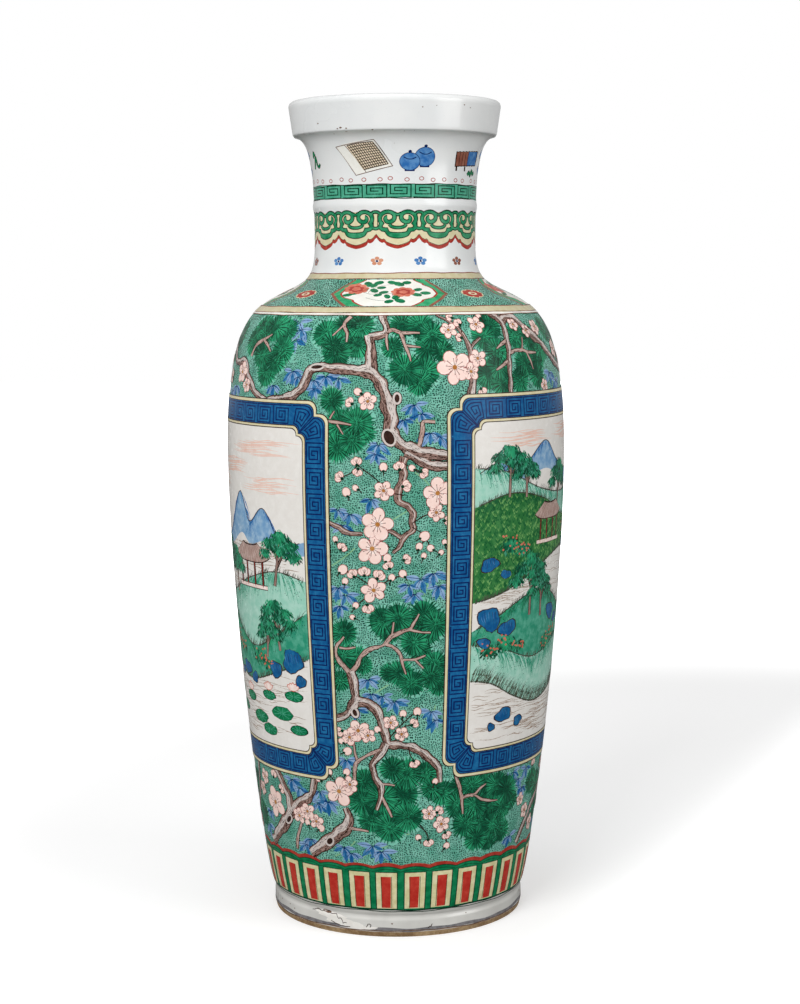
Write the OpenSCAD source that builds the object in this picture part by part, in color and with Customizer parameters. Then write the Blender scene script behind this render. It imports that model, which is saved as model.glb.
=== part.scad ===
// Rouleau vase: thrown porcelain sections stacked on one axis and luted together with slip.
// Millimetres, +Z up, origin at the centre of the standing ring.

/* [Foot] */
// Outer radius of the foot ring
foot_r = 71.8; // [50:0.2:100]
// Width of the standing ring
foot_ring_w = 10.5; // [8:0.5:16]
// Height of the recess under the base
recess_h = 9; // [5:0.5:16]
// Depth of the seat that holds the base disc in the foot ring
seat_h = 2.5; // [1:0.5:6]
// Width of the worn arris round the bottom of the foot
foot_arris_w = 0.7; // [0.3:0.1:2]
// Height of the worn arris round the bottom of the foot
foot_arris_h = 2.8; // [1:0.1:4]
// How far the foot ring draws in at its top, below the body
foot_neck_in = 0.9; // [0.2:0.1:2]
// Height over which the foot ring draws in
foot_neck_h = 2; // [0.5:0.1:2]
// Thickness of the base disc
base_t = 8; // [5:0.5:14]
// Height of the clay coil pressed round the base disc
coil_h = 7; // [3:0.5:12]
// Thickness of the coil's smoothed toe
coil_toe_t = 0.7; // [0.3:0.1:1.5]

/* [Body] */
// Step of the body inside the foot ring
heel_step = 0.4; // [0:0.1:2]
// Radius of the body at its widest
belly_r = 95.7; // [85:0.1:130]
// Height from the bottom of the body to its widest
belly_rise = 252.5; // [180:0.5:340]
// Thickness of the thrown wall
wall = 5.3; // [3:0.1:8]
// Width of the body's bottom edge, round the base disc
heel_w = 6; // [4:0.1:9]
// Height over which the thick heel thins to the wall
heel_blend = 12; // [6:1:30]

/* [Shoulder] */
// Height from the widest to the turn of the shoulder
shoulder_rise = 87; // [60:0.5:120]
// Slope of the shoulder at its turn, in degrees from level
shoulder_slope = 27.5; // [15:0.5:40]
// Distance of the turn outside the neck
turn_out = 21.7; // [14:0.1:30]
// Height from the turn to the foot of the neck
throat_rise = 32; // [22:0.5:45]

/* [Neck] */
// Outer radius of the neck at its narrowest
neck_r = 45.3; // [35:0.1:60]
// Height from the narrowest place to the underside of the rim
neck_rise = 56.5; // [48:0.5:90]
// Length of the straight bore of the neck
bore_len = 40; // [25:0.5:43]
// Height of the raised rib above the narrowest place
rib_rise = 17.5; // [10:0.5:28]
// Half width of the raised rib
rib_half_w = 5; // [2:0.5:6]
// How far the rib stands out
rib_proud = 0.8; // [0.2:0.1:2]

/* [Mouth] */
// Overhang of the rim's lower edge outside the neck
rim_out = 11.1; // [7:0.1:18]
// Height of the rim
rim_h = 19.5; // [13:0.5:32]
// How much wider the rim is at its lip than at its lower edge
rim_splay = 3.3; // [0:0.1:7]
// How far the rim's lower edge rounds out
rim_edge_out = 1.3; // [0.3:0.1:2]
// Height over which the rim's lower edge rounds out
rim_edge_h = 3; // [1:0.5:6]
// Thickness of the rim at its lip
lip_t = 6; // [4:0.2:8]

/* [Luting] */
// Thickness of each slip seam
lute_t = 1; // [0.6:0.1:2]
// How far the slip squeezes out inside the wall
lute_bead = 0.8; // [0:0.1:2]
// Height of the waist seam above the bottom of the body
waist_seam_rise = 157; // [90:1:175]
// Height of the shoulder seam above the widest place
shoulder_seam_rise = 53; // [20:1:58]
// Depth of the neck seam below the narrowest place
neck_seam_drop = 18; // [12:0.5:21]
// Depth of the mouth seam below the rim
mouth_seam_drop = 5; // [3:0.5:8]
// Clearance round the base disc and its coil
fit_gap = 0.3; // [0.1:0.1:0.6]

/* [Hidden] */
$fn = 96;

CURVE_STEPS = 24;   // straight facets along each long curve of the profile
LIP_STEPS = 10;     // facets round the lip
EDGE_STEPS = 6;     // facets along each short curve
JOIN_EPS = 0.01;    // points of a path closer than this are one point

// How far each curve's handles reach, as a share of that curve's own rise or reach
HEEL_OUT = 0.25;
HEEL_UP = 0.02;
FLANK_PULL = 0.34;
BELLY_PULL = 0.8;
TURN_PULL = 0.645;
THROAT_PULL = 0.77;
THROAT_DROP = 0.78;
NECK_PULL = 0.6;
FLARE_OUT = 0.15;
FLARE_DROP = 0.018;
EDGE_OUT = 0.75;
EDGE_DROP = 0.67;
DISH_UP = 0.6;
DISH_DROP = 0.58;
COIL_IN = 0.35;
COIL_PULL = 0.5;

// Heights of the profile's stations
foot_h = recess_h + seat_h;
body_z = foot_h + lute_t;
base_top_z = recess_h + base_t;
belly_z = body_z + belly_rise;
turn_z = belly_z + shoulder_rise;
neck_z = turn_z + throat_rise;
rim_z = neck_z + neck_rise;
lip_z = rim_z + rim_h;
lip_centre_z = lip_z - lip_t / 2;

// Heights of the seams' lower faces
waist_seam_z = body_z + waist_seam_rise;
shoulder_seam_z = belly_z + shoulder_seam_rise;
neck_seam_z = neck_z - neck_seam_drop;
mouth_seam_z = rim_z - mouth_seam_drop;

// Radii that follow from the driving sizes
heel_r = foot_r - heel_step;
seat_r = heel_r - heel_w;
foot_in_r = foot_r - foot_ring_w;
turn_r = neck_r + turn_out;
rim_r = neck_r + rim_out;
lip_r = rim_r + rim_splay;
bore_r = neck_r - wall;
dish_r = lip_r - lip_t;

// Points of a cubic curve through p0 and p3 with handles p1 and p2
function bend(p0, p1, p2, p3, steps) =
    [for (i = [0:steps]) let (t = i / steps, s = 1 - t)
        s * s * s * p0 + 3 * s * s * t * p1 + 3 * s * t * t * p2 + t * t * t * p3];

// Radius of a path at a height, along its straight facets
function radius_at(path, z) = lookup(z, [for (p = path) [p[1], p[0]]]);

// The stretch of a path between two heights
function stretch(path, z0, z1) =
    concat([[radius_at(path, z0), z0]],
           [for (p = path) if (p[1] > z0 + JOIN_EPS && p[1] < z1 - JOIN_EPS) p],
           [[radius_at(path, z1), z1]]);

// A path moved square to itself, towards the axis
function moved_in(path, d) =
    [for (i = [0:len(path) - 1])
        let (a = path[max(i - 1, 0)], b = path[min(i + 1, len(path) - 1)], along = b - a)
        path[i] - d * [along[1], -along[0]] / norm(along)];

function reversed(path) = [for (i = [len(path) - 1:-1:0]) path[i]];
function without_first(path) = [for (i = [1:len(path) - 1]) path[i]];

// Swell of the neck rib: a raised cosine, nought outside its width
function rib_swell(z) =
    let (u = (z - neck_z - rib_rise) / rib_half_w)
    abs(u) < 1 ? rib_proud * (1 + cos(180 * u)) / 2 : 0;

// Outer outline from the bottom of the body to the lip
shoulder_dir = [-cos(shoulder_slope), sin(shoulder_slope)];
shoulder_handle = TURN_PULL * (belly_r - turn_r) * cos(shoulder_slope);
throat_handle = THROAT_PULL * turn_out / cos(shoulder_slope);
heel_handle = [HEEL_OUT * (belly_r - heel_r), HEEL_UP * belly_rise];
flank = bend([heel_r, body_z], [heel_r, body_z] + heel_handle,
             [belly_r, belly_z - FLANK_PULL * belly_rise], [belly_r, belly_z], CURVE_STEPS);
shoulder_curve = bend([belly_r, belly_z], [belly_r, belly_z + BELLY_PULL * shoulder_rise],
                      [turn_r, turn_z] - shoulder_handle * shoulder_dir, [turn_r, turn_z], CURVE_STEPS);
throat_curve = bend([turn_r, turn_z], [turn_r, turn_z] + throat_handle * shoulder_dir,
                    [neck_r, neck_z - THROAT_DROP * throat_rise], [neck_r, neck_z], CURVE_STEPS);
flare_curve = bend([neck_r, neck_z], [neck_r, neck_z + NECK_PULL * neck_rise],
                   [neck_r + FLARE_OUT * rim_out, rim_z - FLARE_DROP * neck_rise], [rim_r, rim_z],
                   CURVE_STEPS * 2);
neck_curve = [for (p = flare_curve) [p[0] + rib_swell(p[1]), p[1]]];
rim_edge = [rim_r + rim_edge_out, rim_z + rim_edge_h];
rim_curve = bend([rim_r, rim_z], [rim_r + EDGE_OUT * rim_edge_out, rim_z + JOIN_EPS],
                 [rim_r + EDGE_OUT * rim_edge_out, rim_edge[1] - EDGE_DROP * rim_edge_h], rim_edge,
                 EDGE_STEPS);
body_outline = concat(flank, without_first(shoulder_curve), without_first(throat_curve));
outline = concat(body_outline, without_first(neck_curve), without_first(rim_curve), [[lip_r, lip_centre_z]]);

// Inner outline: thick heel, even wall, straight bore, then the dished mouth
bore_top_z = neck_z + bore_len;
dish_rise = lip_centre_z - bore_top_z;
dish_curve = bend([bore_r, bore_top_z], [bore_r, bore_top_z + DISH_UP * dish_rise],
                  [dish_r, lip_centre_z - DISH_DROP * dish_rise], [dish_r, lip_centre_z], CURVE_STEPS);
inner_wall = moved_in(body_outline, wall);
inner_outline = concat(
    [[seat_r, body_z], [seat_r, base_top_z]],
    [for (p = inner_wall) if (p[1] > base_top_z + heel_blend && p[1] < neck_z - JOIN_EPS) p],
    [[bore_r, neck_z]], dish_curve);

// A turned ring of the wall between two heights
module wall_section(z0, z1) {
    rotate_extrude()
        polygon(concat(stretch(outline, z0, z1), reversed(stretch(inner_outline, z0, z1))));
}

// A ring of slip between two sections, flush outside and squeezed out inside
module lute(z0) {
    z1 = z0 + lute_t;
    middle_z = z0 + lute_t / 2;
    squeezed = [radius_at(inner_outline, middle_z) - lute_bead, middle_z];
    rotate_extrude()
        polygon(concat(stretch(outline, z0, z1), [[radius_at(inner_outline, z1), z1], squeezed,
                                                  [radius_at(inner_outline, z0), z0]]));
}

module foot_ring() {
    color("wheat")
        rotate_extrude()
            polygon([[foot_in_r, 0], [foot_r - foot_arris_w, 0], [foot_r, foot_arris_h],
                     [foot_r, foot_h - foot_neck_h], [foot_r - foot_neck_in, foot_h], [seat_r, foot_h],
                     [seat_r, recess_h], [foot_in_r, recess_h]]);
}

module base_disc() {
    color("white")
        translate([0, 0, recess_h])
            cylinder(r = seat_r - fit_gap, h = base_t);
}

module base_coil() {
    coil_top_z = base_top_z + coil_h;
    toe_r = seat_r - fit_gap - coil_h;
    top_r = radius_at(inner_outline, coil_top_z) - fit_gap;
    toe_z = base_top_z + coil_toe_t;
    hollow = bend([top_r, coil_top_z], [top_r - COIL_IN * coil_h, coil_top_z - COIL_PULL * coil_h],
                  [toe_r + COIL_PULL * coil_h, toe_z], [toe_r, toe_z], EDGE_STEPS);
    color("linen")
        rotate_extrude()
            polygon(concat([[toe_r, base_top_z], [seat_r - fit_gap, base_top_z]], hollow));
}

module foot_lute() {
    color("gainsboro")
        rotate_extrude()
            polygon([[seat_r, foot_h], [foot_r - foot_neck_in, foot_h], [heel_r, body_z], [seat_r, body_z]]);
}

module lower_body() { color("mediumaquamarine") wall_section(body_z, waist_seam_z); }

module waist_lute() { color("gainsboro") lute(waist_seam_z); }

module upper_body() { color("mediumseagreen") wall_section(waist_seam_z + lute_t, shoulder_seam_z); }

module shoulder_lute() { color("gainsboro") lute(shoulder_seam_z); }

module shoulder() { color("seagreen") wall_section(shoulder_seam_z + lute_t, neck_seam_z); }

module neck_lute() { color("gainsboro") lute(neck_seam_z); }

module neck() { color("ghostwhite") wall_section(neck_seam_z + lute_t, mouth_seam_z); }

module mouth_lute() { color("gainsboro") lute(mouth_seam_z); }

module mouth_rim() {
    start_z = mouth_seam_z + lute_t;
    lip_centre_r = lip_r - lip_t / 2;
    lip = [for (i = [1:LIP_STEPS - 1]) let (a = 180 * i / LIP_STEPS)
        [lip_centre_r + lip_t / 2 * cos(a), lip_centre_z + lip_t / 2 * sin(a)]];
    color("white")
        rotate_extrude()
            polygon(concat(stretch(outline, start_z, lip_centre_z), lip,
                           reversed(stretch(inner_outline, start_z, lip_centre_z))));
}

foot_ring();
base_disc();
base_coil();
foot_lute();
lower_body();
waist_lute();
upper_body();
shoulder_lute();
shoulder();
neck_lute();
neck();
mouth_lute();
mouth_rim();
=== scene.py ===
"""A tall porcelain rouleau vase: turned sections luted into one wall, with the enamel painting laid over it.

Angles are degrees round the vase from the front, positive to the right. Heights on the outer face are
millimetres measured up the outline from the standing edge. Lengths are millimetres until a point is placed.
"""
import bpy
import numpy as np
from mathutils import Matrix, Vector


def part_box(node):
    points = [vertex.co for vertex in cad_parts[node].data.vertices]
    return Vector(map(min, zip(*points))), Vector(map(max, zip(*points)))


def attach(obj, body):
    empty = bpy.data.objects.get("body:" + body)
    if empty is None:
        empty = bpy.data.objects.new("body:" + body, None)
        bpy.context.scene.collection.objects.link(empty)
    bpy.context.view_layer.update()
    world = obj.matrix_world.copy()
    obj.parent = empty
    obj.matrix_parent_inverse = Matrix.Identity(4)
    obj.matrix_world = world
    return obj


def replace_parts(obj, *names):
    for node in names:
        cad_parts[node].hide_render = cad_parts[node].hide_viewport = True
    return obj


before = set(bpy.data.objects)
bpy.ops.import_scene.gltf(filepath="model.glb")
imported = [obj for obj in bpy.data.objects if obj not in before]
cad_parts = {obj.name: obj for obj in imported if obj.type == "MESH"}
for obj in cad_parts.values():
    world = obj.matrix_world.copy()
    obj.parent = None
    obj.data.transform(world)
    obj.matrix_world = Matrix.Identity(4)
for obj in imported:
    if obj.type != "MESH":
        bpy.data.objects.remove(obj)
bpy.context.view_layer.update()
rng = np.random.default_rng(41)

MM = 0.001
LAYER = 0.03          # rise from one painted layer to the next
WALL_STEP = 1.5       # spacing of the rings up a turned wall
ROUND_STEPS = 192     # facets round a turned wall
START = -93.0         # angle at which the maps and rings round the vase begin
WOBBLE = (0.10, 0.06)  # two and three lobed waves of a hand-thrown wall

# Radii of the outline's stations
FOOT_R = 71.8
FOOT_RING_W = 10.5
FOOT_ARRIS = (0.7, 2.8)
FOOT_NECK = (0.9, 2.0)
HEEL_R = 71.4
SEAT_R = 65.4
FIT_GAP = 0.3
BELLY_R = 95.7
TURN_R = 67.0
NECK_R = 45.3
RIM_R = 56.4
LIP_R = 59.7
LIP_T = 6.0
WALL = 5.3
BORE_R = NECK_R - WALL

# Heights of the outline's stations
BELLY_Z = 265.0
TURN_Z = 352.0
NECK_Z = 384.0
RIM_Z = 440.5
LIP_Z = 460.0
BORE_TOP_Z = 424.0
RECESS_H = 9.0
HEEL_BLEND = 12.0
COIL_H = 7.0
COIL_TOE_T = 0.7
LUTE_BEAD = 0.8
RIB = {"z": 401.5, "half_width": 5.0, "proud": 0.8}
SHOULDER_SLOPE = np.radians(27.5)


def face_z(node, end):
    """Height of a section's lower (0) or upper (1) face, read from the frame."""
    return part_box(node)[end].z / MM


FOOT_H = face_z("foot_ring", 1)
BODY_Z = face_z("lower_body", 0)
BASE_TOP_Z = face_z("base_disc", 1)


# Paths and the outline

def bend(p0, p1, p2, p3, steps=90):
    """Cubic curve from p0 to p3 with handles p1 and p2, weighted by the Bernstein terms of t."""
    t = np.linspace(0.0, 1.0, steps)[:, None]
    s = 1.0 - t
    return (s**3 * np.array(p0) + 3 * s * s * t * np.array(p1)
            + 3 * s * t * t * np.array(p2) + t**3 * np.array(p3))


def run_of(path):
    """Length along a path at each of its points."""
    return np.r_[0.0, np.cumsum(np.hypot(*np.diff(path, axis=0).T))]


def join(*parts):
    """Chains paths end to end and drops points that repeat."""
    path = np.concatenate([np.atleast_2d(np.array(part, float)) for part in parts])
    return path[np.r_[True, np.diff(run_of(path)) > 1e-3]]


def along(path, share):
    """Points of a path at shares of its length."""
    run = run_of(path)
    return np.stack([np.interp(share * run[-1], run, v) for v in path.T], -1)


def even(path, step):
    """The same path with points at even steps along its length."""
    run = run_of(path)
    way = np.linspace(0.0, run[-1], max(2, int(np.ceil(run[-1] / step)) + 1))
    return np.stack([np.interp(way, run, v) for v in path.T], 1)


def outer_line():
    """Outer outline as radius and height: foot ring, flank, shoulder, throat, flare with rib, rim, lip."""
    rise = BELLY_Z - BODY_Z
    out = BELLY_R - TURN_R
    downhill = np.array([-np.cos(SHOULDER_SLOPE), np.sin(SHOULDER_SLOPE)])
    turn = np.array([TURN_R, TURN_Z])
    foot = [(FOOT_R - FOOT_ARRIS[0], 0), (FOOT_R, FOOT_ARRIS[1]), (FOOT_R, FOOT_H - FOOT_NECK[1]),
            (FOOT_R - FOOT_NECK[0], FOOT_H)]
    flank = bend((HEEL_R, BODY_Z), (HEEL_R + 0.25 * (BELLY_R - HEEL_R), BODY_Z + 0.02 * rise),
                 (BELLY_R, BELLY_Z - 0.34 * rise), (BELLY_R, BELLY_Z))
    shoulder = bend((BELLY_R, BELLY_Z), (BELLY_R, BELLY_Z + 0.8 * (TURN_Z - BELLY_Z)),
                    turn - 0.645 * out * np.cos(SHOULDER_SLOPE) * downhill, turn)
    throat = bend(turn, turn + 0.77 * (TURN_R - NECK_R) / np.cos(SHOULDER_SLOPE) * downhill,
                  (NECK_R, NECK_Z - 0.78 * (NECK_Z - TURN_Z)), (NECK_R, NECK_Z))
    flare = bend((NECK_R, NECK_Z), (NECK_R, NECK_Z + 0.6 * (RIM_Z - NECK_Z)),
                 (NECK_R + 0.15 * (RIM_R - NECK_R), RIM_Z - 0.018 * (RIM_Z - NECK_Z)), (RIM_R, RIM_Z))
    across_rib = np.clip((flare[:, 1] - RIB["z"]) / RIB["half_width"], -1, 1)
    flare[:, 0] += RIB["proud"] * (1 + np.cos(np.pi * across_rib)) / 2
    rim = bend((RIM_R, RIM_Z), (RIM_R + 1.0, RIM_Z), (RIM_R + 1.0, RIM_Z + 1.0),
               (RIM_R + 1.3, RIM_Z + 3.0), 12)
    turn_over = np.linspace(0.0, np.pi / 2, 16)
    lip = np.stack([LIP_R - LIP_T / 2 * (1 - np.cos(turn_over)),
                    LIP_Z - LIP_T / 2 * (1 - np.sin(turn_over))], 1)
    return even(join(foot, flank, shoulder, throat, flare, rim, lip), 0.25)


OUTER = outer_line()
RISE = run_of(OUTER)
LINE_NORMAL = np.gradient(OUTER, axis=0)[:, ::-1] * (1, -1)
LINE_NORMAL /= np.hypot(*LINE_NORMAL.T)[:, None]


def inner_line():
    """Inner outline: seat of the base, thick heel, even wall, straight bore, then the dished mouth."""
    wall = OUTER - WALL * LINE_NORMAL
    wall = wall[(OUTER[:, 1] > BASE_TOP_Z + HEEL_BLEND) & (wall[:, 1] < NECK_Z) & (OUTER[:, 1] < NECK_Z)]
    rise = LIP_Z - LIP_T / 2 - BORE_TOP_Z
    dish = bend((BORE_R, BORE_TOP_Z), (BORE_R, BORE_TOP_Z + 0.6 * rise),
                (LIP_R - LIP_T, LIP_Z - LIP_T / 2 - 0.58 * rise), (LIP_R - LIP_T, LIP_Z - LIP_T / 2))
    return join([(SEAT_R, BODY_Z), (SEAT_R, BASE_TOP_Z)], wall, [(BORE_R, NECK_Z)], dish)


INNER = even(inner_line(), 0.5)


def place(a, r, z):
    """Point in metres at an angle, radius and height; two and three lobed waves of a tenth of a millimetre
    that twist up the wall give the wobble of hand throwing, which dies out at the foot."""
    turn = np.radians(a)
    wobble = WOBBLE[0] * np.sin(2 * turn + 0.012 * z + 0.6) + WOBBLE[1] * np.sin(3 * turn - 0.02 * z)
    r = r + wobble * np.clip(z / 60 - 0.3, 0, 1)
    return np.stack([r * np.sin(turn), -r * np.cos(turn), z + 0 * r], -1) * MM


def at_height(m, line):
    """Both columns of a line of values along the outline, at heights on it."""
    return [np.interp(m, RISE, v) for v in line.T]


def wall_radius(m):
    """Radius of the outer face at a height on the outline."""
    return at_height(m, OUTER)[0]


def on_wall(a, m, lift=0.0):
    """Point on the outer face, raised by lift along the outline's normal."""
    (r, z), (nr, nz) = at_height(m, OUTER), at_height(m, LINE_NORMAL)
    return place(a, r + lift * nr, z + lift * nz)


def turned_normal(a, nr, nz):
    """Normal of a turned face at an angle, from its normal in the outline's plane."""
    turn = np.radians(a)
    return np.stack([nr * np.sin(turn), -nr * np.cos(turn), nz + 0 * turn], -1)


def wall_normal(a, m):
    """Outward normal of the outer face."""
    return turned_normal(a, *at_height(m, LINE_NORMAL))


def m_at(z):
    """Height along the outline of a height above the table."""
    return np.interp(z, OUTER[:, 1], RISE)


def local(a0, m0, x, y):
    """Angle and height of points x to the right of and y above a place on the outer face."""
    m = m0 + y
    return np.stack(np.broadcast_arrays(a0 + np.degrees(x / wall_radius(m)), m), -1)


def smooth(points, step=2.0):
    """Curve through given points (angle, height, perhaps width): a Catmull-Rom spline, whose tangents
    are half the step between a point's neighbours, sampled at about one step of length."""
    p = np.array(points, float)
    tangent = np.gradient(p, axis=0)
    span = np.hypot(np.radians(np.diff(p[:, 0])) * wall_radius(p[:-1, 1]), np.diff(p[:, 1]))
    parts = []
    for i, length in enumerate(span):
        t = np.linspace(0, 1, max(2, int(np.ceil(length / step)) + 1))[:-1, None]
        parts.append((2 * t**3 - 3 * t**2 + 1) * p[i] + (t**3 - 2 * t**2 + t) * tangent[i]
                     + (3 * t**2 - 2 * t**3) * p[i + 1] + (t**3 - t**2) * tangent[i + 1])
    return np.concatenate(parts + [p[-1:]])


def steps_between(points, step):
    """A polyline cut into even pieces no longer than step, keeping its corners."""
    p = np.array(points, float)
    counts = np.maximum(1, np.ceil(np.hypot(*np.diff(p, axis=0).T) / step)).astype(int)
    parts = [p[i] + np.linspace(0, 1, n, endpoint=False)[:, None] * (p[i + 1] - p[i])
             for i, n in enumerate(counts)]
    return np.concatenate(parts + [p[-1:]])


# Materials

def srgb(red, green, blue):
    """Screen colour 0 to 255 as a linear colour with full alpha."""
    c = np.array([red, green, blue]) / 255
    return tuple(np.where(c <= 0.04045, c / 12.92, ((c + 0.055) / 1.055) ** 2.4)) + (1.0,)


def feed(tree, made, inputs):
    """Gives a node's sockets plain values or links from other nodes' outputs."""
    for key, value in inputs.items():
        if isinstance(value, bpy.types.NodeSocket):
            tree.links.new(value, made.inputs[key])
        else:
            made.inputs[key].default_value = value


def node(tree, kind, inputs=None, **settings):
    """Adds a node with its settings and inputs."""
    made = tree.nodes.new(kind)
    for key, value in settings.items():
        setattr(made, key, value)
    feed(tree, made, inputs or {})
    return made


def mix_colour(tree, factor, first, second):
    """Colour between two, by a factor; returns the output socket."""
    return node(tree, "ShaderNodeMix", {0: factor, 6: first, 7: second}, data_type="RGBA").outputs[2]


def ranged(tree, value, low, high, to_low=0.0, to_high=1.0):
    """Value moved from one range to another with a smooth step."""
    return node(tree, "ShaderNodeMapRange",
                {"Value": value, "From Min": low, "From Max": high, "To Min": to_low, "To Max": to_high},
                interpolation_type="SMOOTHSTEP").outputs[0]


def math_node(tree, operation, first, second=0.0):
    """One arithmetic step; returns the output socket."""
    return node(tree, "ShaderNodeMath", {0: first, 1: second}, operation=operation).outputs[0]


def new_group(name, inputs, outputs):
    """Shader node group with named sockets; returns the tree and its input and output nodes."""
    tree = bpy.data.node_groups.new(name, "ShaderNodeTree")
    for label, kind, default in inputs:
        socket = tree.interface.new_socket(label, in_out="INPUT", socket_type=kind)
        socket.default_value = default
    for label, kind in outputs:
        tree.interface.new_socket(label, in_out="OUTPUT", socket_type=kind)
    return tree, tree.nodes.new("NodeGroupInput"), tree.nodes.new("NodeGroupOutput")


def enamel_flow_group():
    """How a fired enamel lies: pools and washes from broad noise, specks from fine noise, a wavy gloss."""
    tree, given, out = new_group(
        "enamel_flow",
        [("Thick", "NodeSocketColor", (0.5, 0.5, 0.5, 1)), ("Thin", "NodeSocketColor", (0.8, 0.8, 0.8, 1)),
         ("Patch", "NodeSocketFloat", 250.0), ("Contrast", "NodeSocketFloat", 0.5)],
        [("Color", "NodeSocketColor"), ("Roughness", "NodeSocketFloat"), ("Height", "NodeSocketFloat")])
    place_on = node(tree, "ShaderNodeTexCoord").outputs["Object"]
    broad = node(tree, "ShaderNodeTexNoise",
                 {"Vector": place_on, "Scale": given.outputs["Patch"], "Detail": 3.0, "Roughness": 0.6})
    fine = node(tree, "ShaderNodeTexNoise", {"Vector": place_on, "Scale": 1900.0, "Detail": 2.0})
    pool = ranged(tree, broad.outputs[0], 0.34, 0.68)
    wash = math_node(tree, "MULTIPLY", pool, given.outputs["Contrast"])
    speck = ranged(tree, fine.outputs[0], 0.66, 0.78, 0.0, 0.35)
    flat = mix_colour(tree, wash, given.outputs["Thick"], given.outputs["Thin"])
    dark = node(tree, "ShaderNodeHueSaturation", {"Value": 0.55, "Color": flat}).outputs[0]
    feed(tree, out, {"Color": mix_colour(tree, speck, flat, dark),
                     "Roughness": ranged(tree, broad.outputs[0], 0.2, 0.8, 0.14, 0.30),
                     "Height": math_node(tree, "ADD", pool, speck)})
    return tree


def stipple_group():
    """Dots of a fine brush in bending rows: Voronoi cells on the wall's own map, in millimetres and warped
    by noise, inked where the distance to the cell's point is under a wandering radius."""
    tree, given, out = new_group(
        "stipple", [("Pitch", "NodeSocketFloat", 1.4), ("Dot", "NodeSocketFloat", 0.24)],
        [("Ink", "NodeSocketFloat"), ("Pool", "NodeSocketFloat")])
    wall_map = node(tree, "ShaderNodeUVMap", uv_map="wall_map").outputs[0]
    scale = math_node(tree, "DIVIDE", 1.0, given.outputs["Pitch"])
    bend_by = node(tree, "ShaderNodeTexNoise", {"Vector": wall_map, "Scale": 0.13, "Detail": 1.0},
                   noise_dimensions="2D")
    rows = node(tree, "ShaderNodeVectorMath", {0: bend_by.outputs[1], 1: (3.2, 3.2, 0.0), 2: wall_map},
                operation="MULTIPLY_ADD").outputs[0]
    cells = node(tree, "ShaderNodeTexVoronoi", {"Vector": rows, "Scale": scale, "Randomness": 0.58},
                 voronoi_dimensions="2D", feature="F1")
    broad = node(tree, "ShaderNodeTexNoise", {"Vector": wall_map, "Scale": 0.055, "Detail": 3.0},
                 noise_dimensions="2D")
    radius = math_node(tree, "MULTIPLY", given.outputs["Dot"],
                       ranged(tree, broad.outputs[0], 0.3, 0.7, 0.92, 1.12))
    inside = math_node(tree, "DIVIDE", cells.outputs["Distance"], radius)
    feed(tree, out, {"Ink": ranged(tree, inside, 0.75, 1.15, 1.0, 0.0), "Pool": broad.outputs[0]})
    return tree


ENAMEL_SHINE = 0.1
ENAMEL_RELIEF, DOT_RELIEF, GLAZE_RELIEF, CLAY_RELIEF = 0.00004, 0.00003, 0.00006, 0.00015     # metres
IRON_BROWN = (120, 95, 70)
FLOW = enamel_flow_group()
STIPPLE = stipple_group()


def new_material(name):
    """Material with a plain Principled shader; returns it, its tree and the shader."""
    material = bpy.data.materials.new(name)
    material.use_nodes = True
    tree = material.node_tree
    return material, tree, tree.nodes["Principled BSDF"]


def flow_between(tree, thick, thin, patch, contrast):
    """Outputs of an enamel's flow between a thick and a thin colour."""
    given = {"Thick": srgb(*thick), "Thin": srgb(*thin), "Patch": patch, "Contrast": contrast}
    return node(tree, "ShaderNodeGroup", given, node_tree=FLOW).outputs


def bump(tree, height, depth):
    """Normal of a surface with a height map; depth is its rise in metres."""
    return node(tree, "ShaderNodeBump", {"Height": height, "Strength": 0.4, "Distance": depth}).outputs[0]


def enamel(name, thick, thin, patch=250.0, contrast=0.6):
    """Glossy overglaze enamel between a thick and a thin colour."""
    material, tree, shader = new_material(name)
    flow = flow_between(tree, thick, thin, patch, contrast)
    feed(tree, shader, {"Base Color": flow["Color"], "Roughness": flow["Roughness"],
                        "Specular IOR Level": ENAMEL_SHINE,
                        "Normal": bump(tree, flow["Height"], ENAMEL_RELIEF)})
    return material


def stippled(name, thick, thin, ink, pitch, dot):
    """Green wash with dots of dark ink under it."""
    material, tree, shader = new_material(name)
    flow = flow_between(tree, thick, thin, 90.0, 0.8)
    dots = node(tree, "ShaderNodeGroup", {"Pitch": pitch, "Dot": dot}, node_tree=STIPPLE).outputs["Ink"]
    inked = mix_colour(tree, dots, flow["Color"], srgb(*ink))
    raised = bump(tree, math_node(tree, "ADD", flow["Height"], dots), DOT_RELIEF)
    feed(tree, shader, {"Base Color": inked, "Roughness": flow["Roughness"],
                        "Specular IOR Level": ENAMEL_SHINE, "Normal": raised})
    return material


def white_glaze(name, thick, thin):
    """Clear glaze on white porcelain: a faint blue-grey wander, pinholes and a few iron specks."""
    material, tree, shader = new_material(name)
    flow = flow_between(tree, thick, thin, 30.0, 1.0)
    coords = node(tree, "ShaderNodeTexCoord").outputs["Object"]
    specks = node(tree, "ShaderNodeTexVoronoi", {"Vector": coords, "Scale": 95.0}, feature="F1")
    iron = ranged(tree, specks.outputs["Distance"], 0.03, 0.055, 0.75, 0.0)
    speckled = mix_colour(tree, iron, flow["Color"], srgb(*IRON_BROWN))
    waves = node(tree, "ShaderNodeTexNoise", {"Vector": coords, "Scale": 16.0, "Detail": 1.0}).outputs[0]
    feed(tree, shader, {"Base Color": speckled, "Roughness": flow["Roughness"], "Coat Weight": 0.2,
                        "Normal": bump(tree, waves, GLAZE_RELIEF)})
    return material


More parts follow.
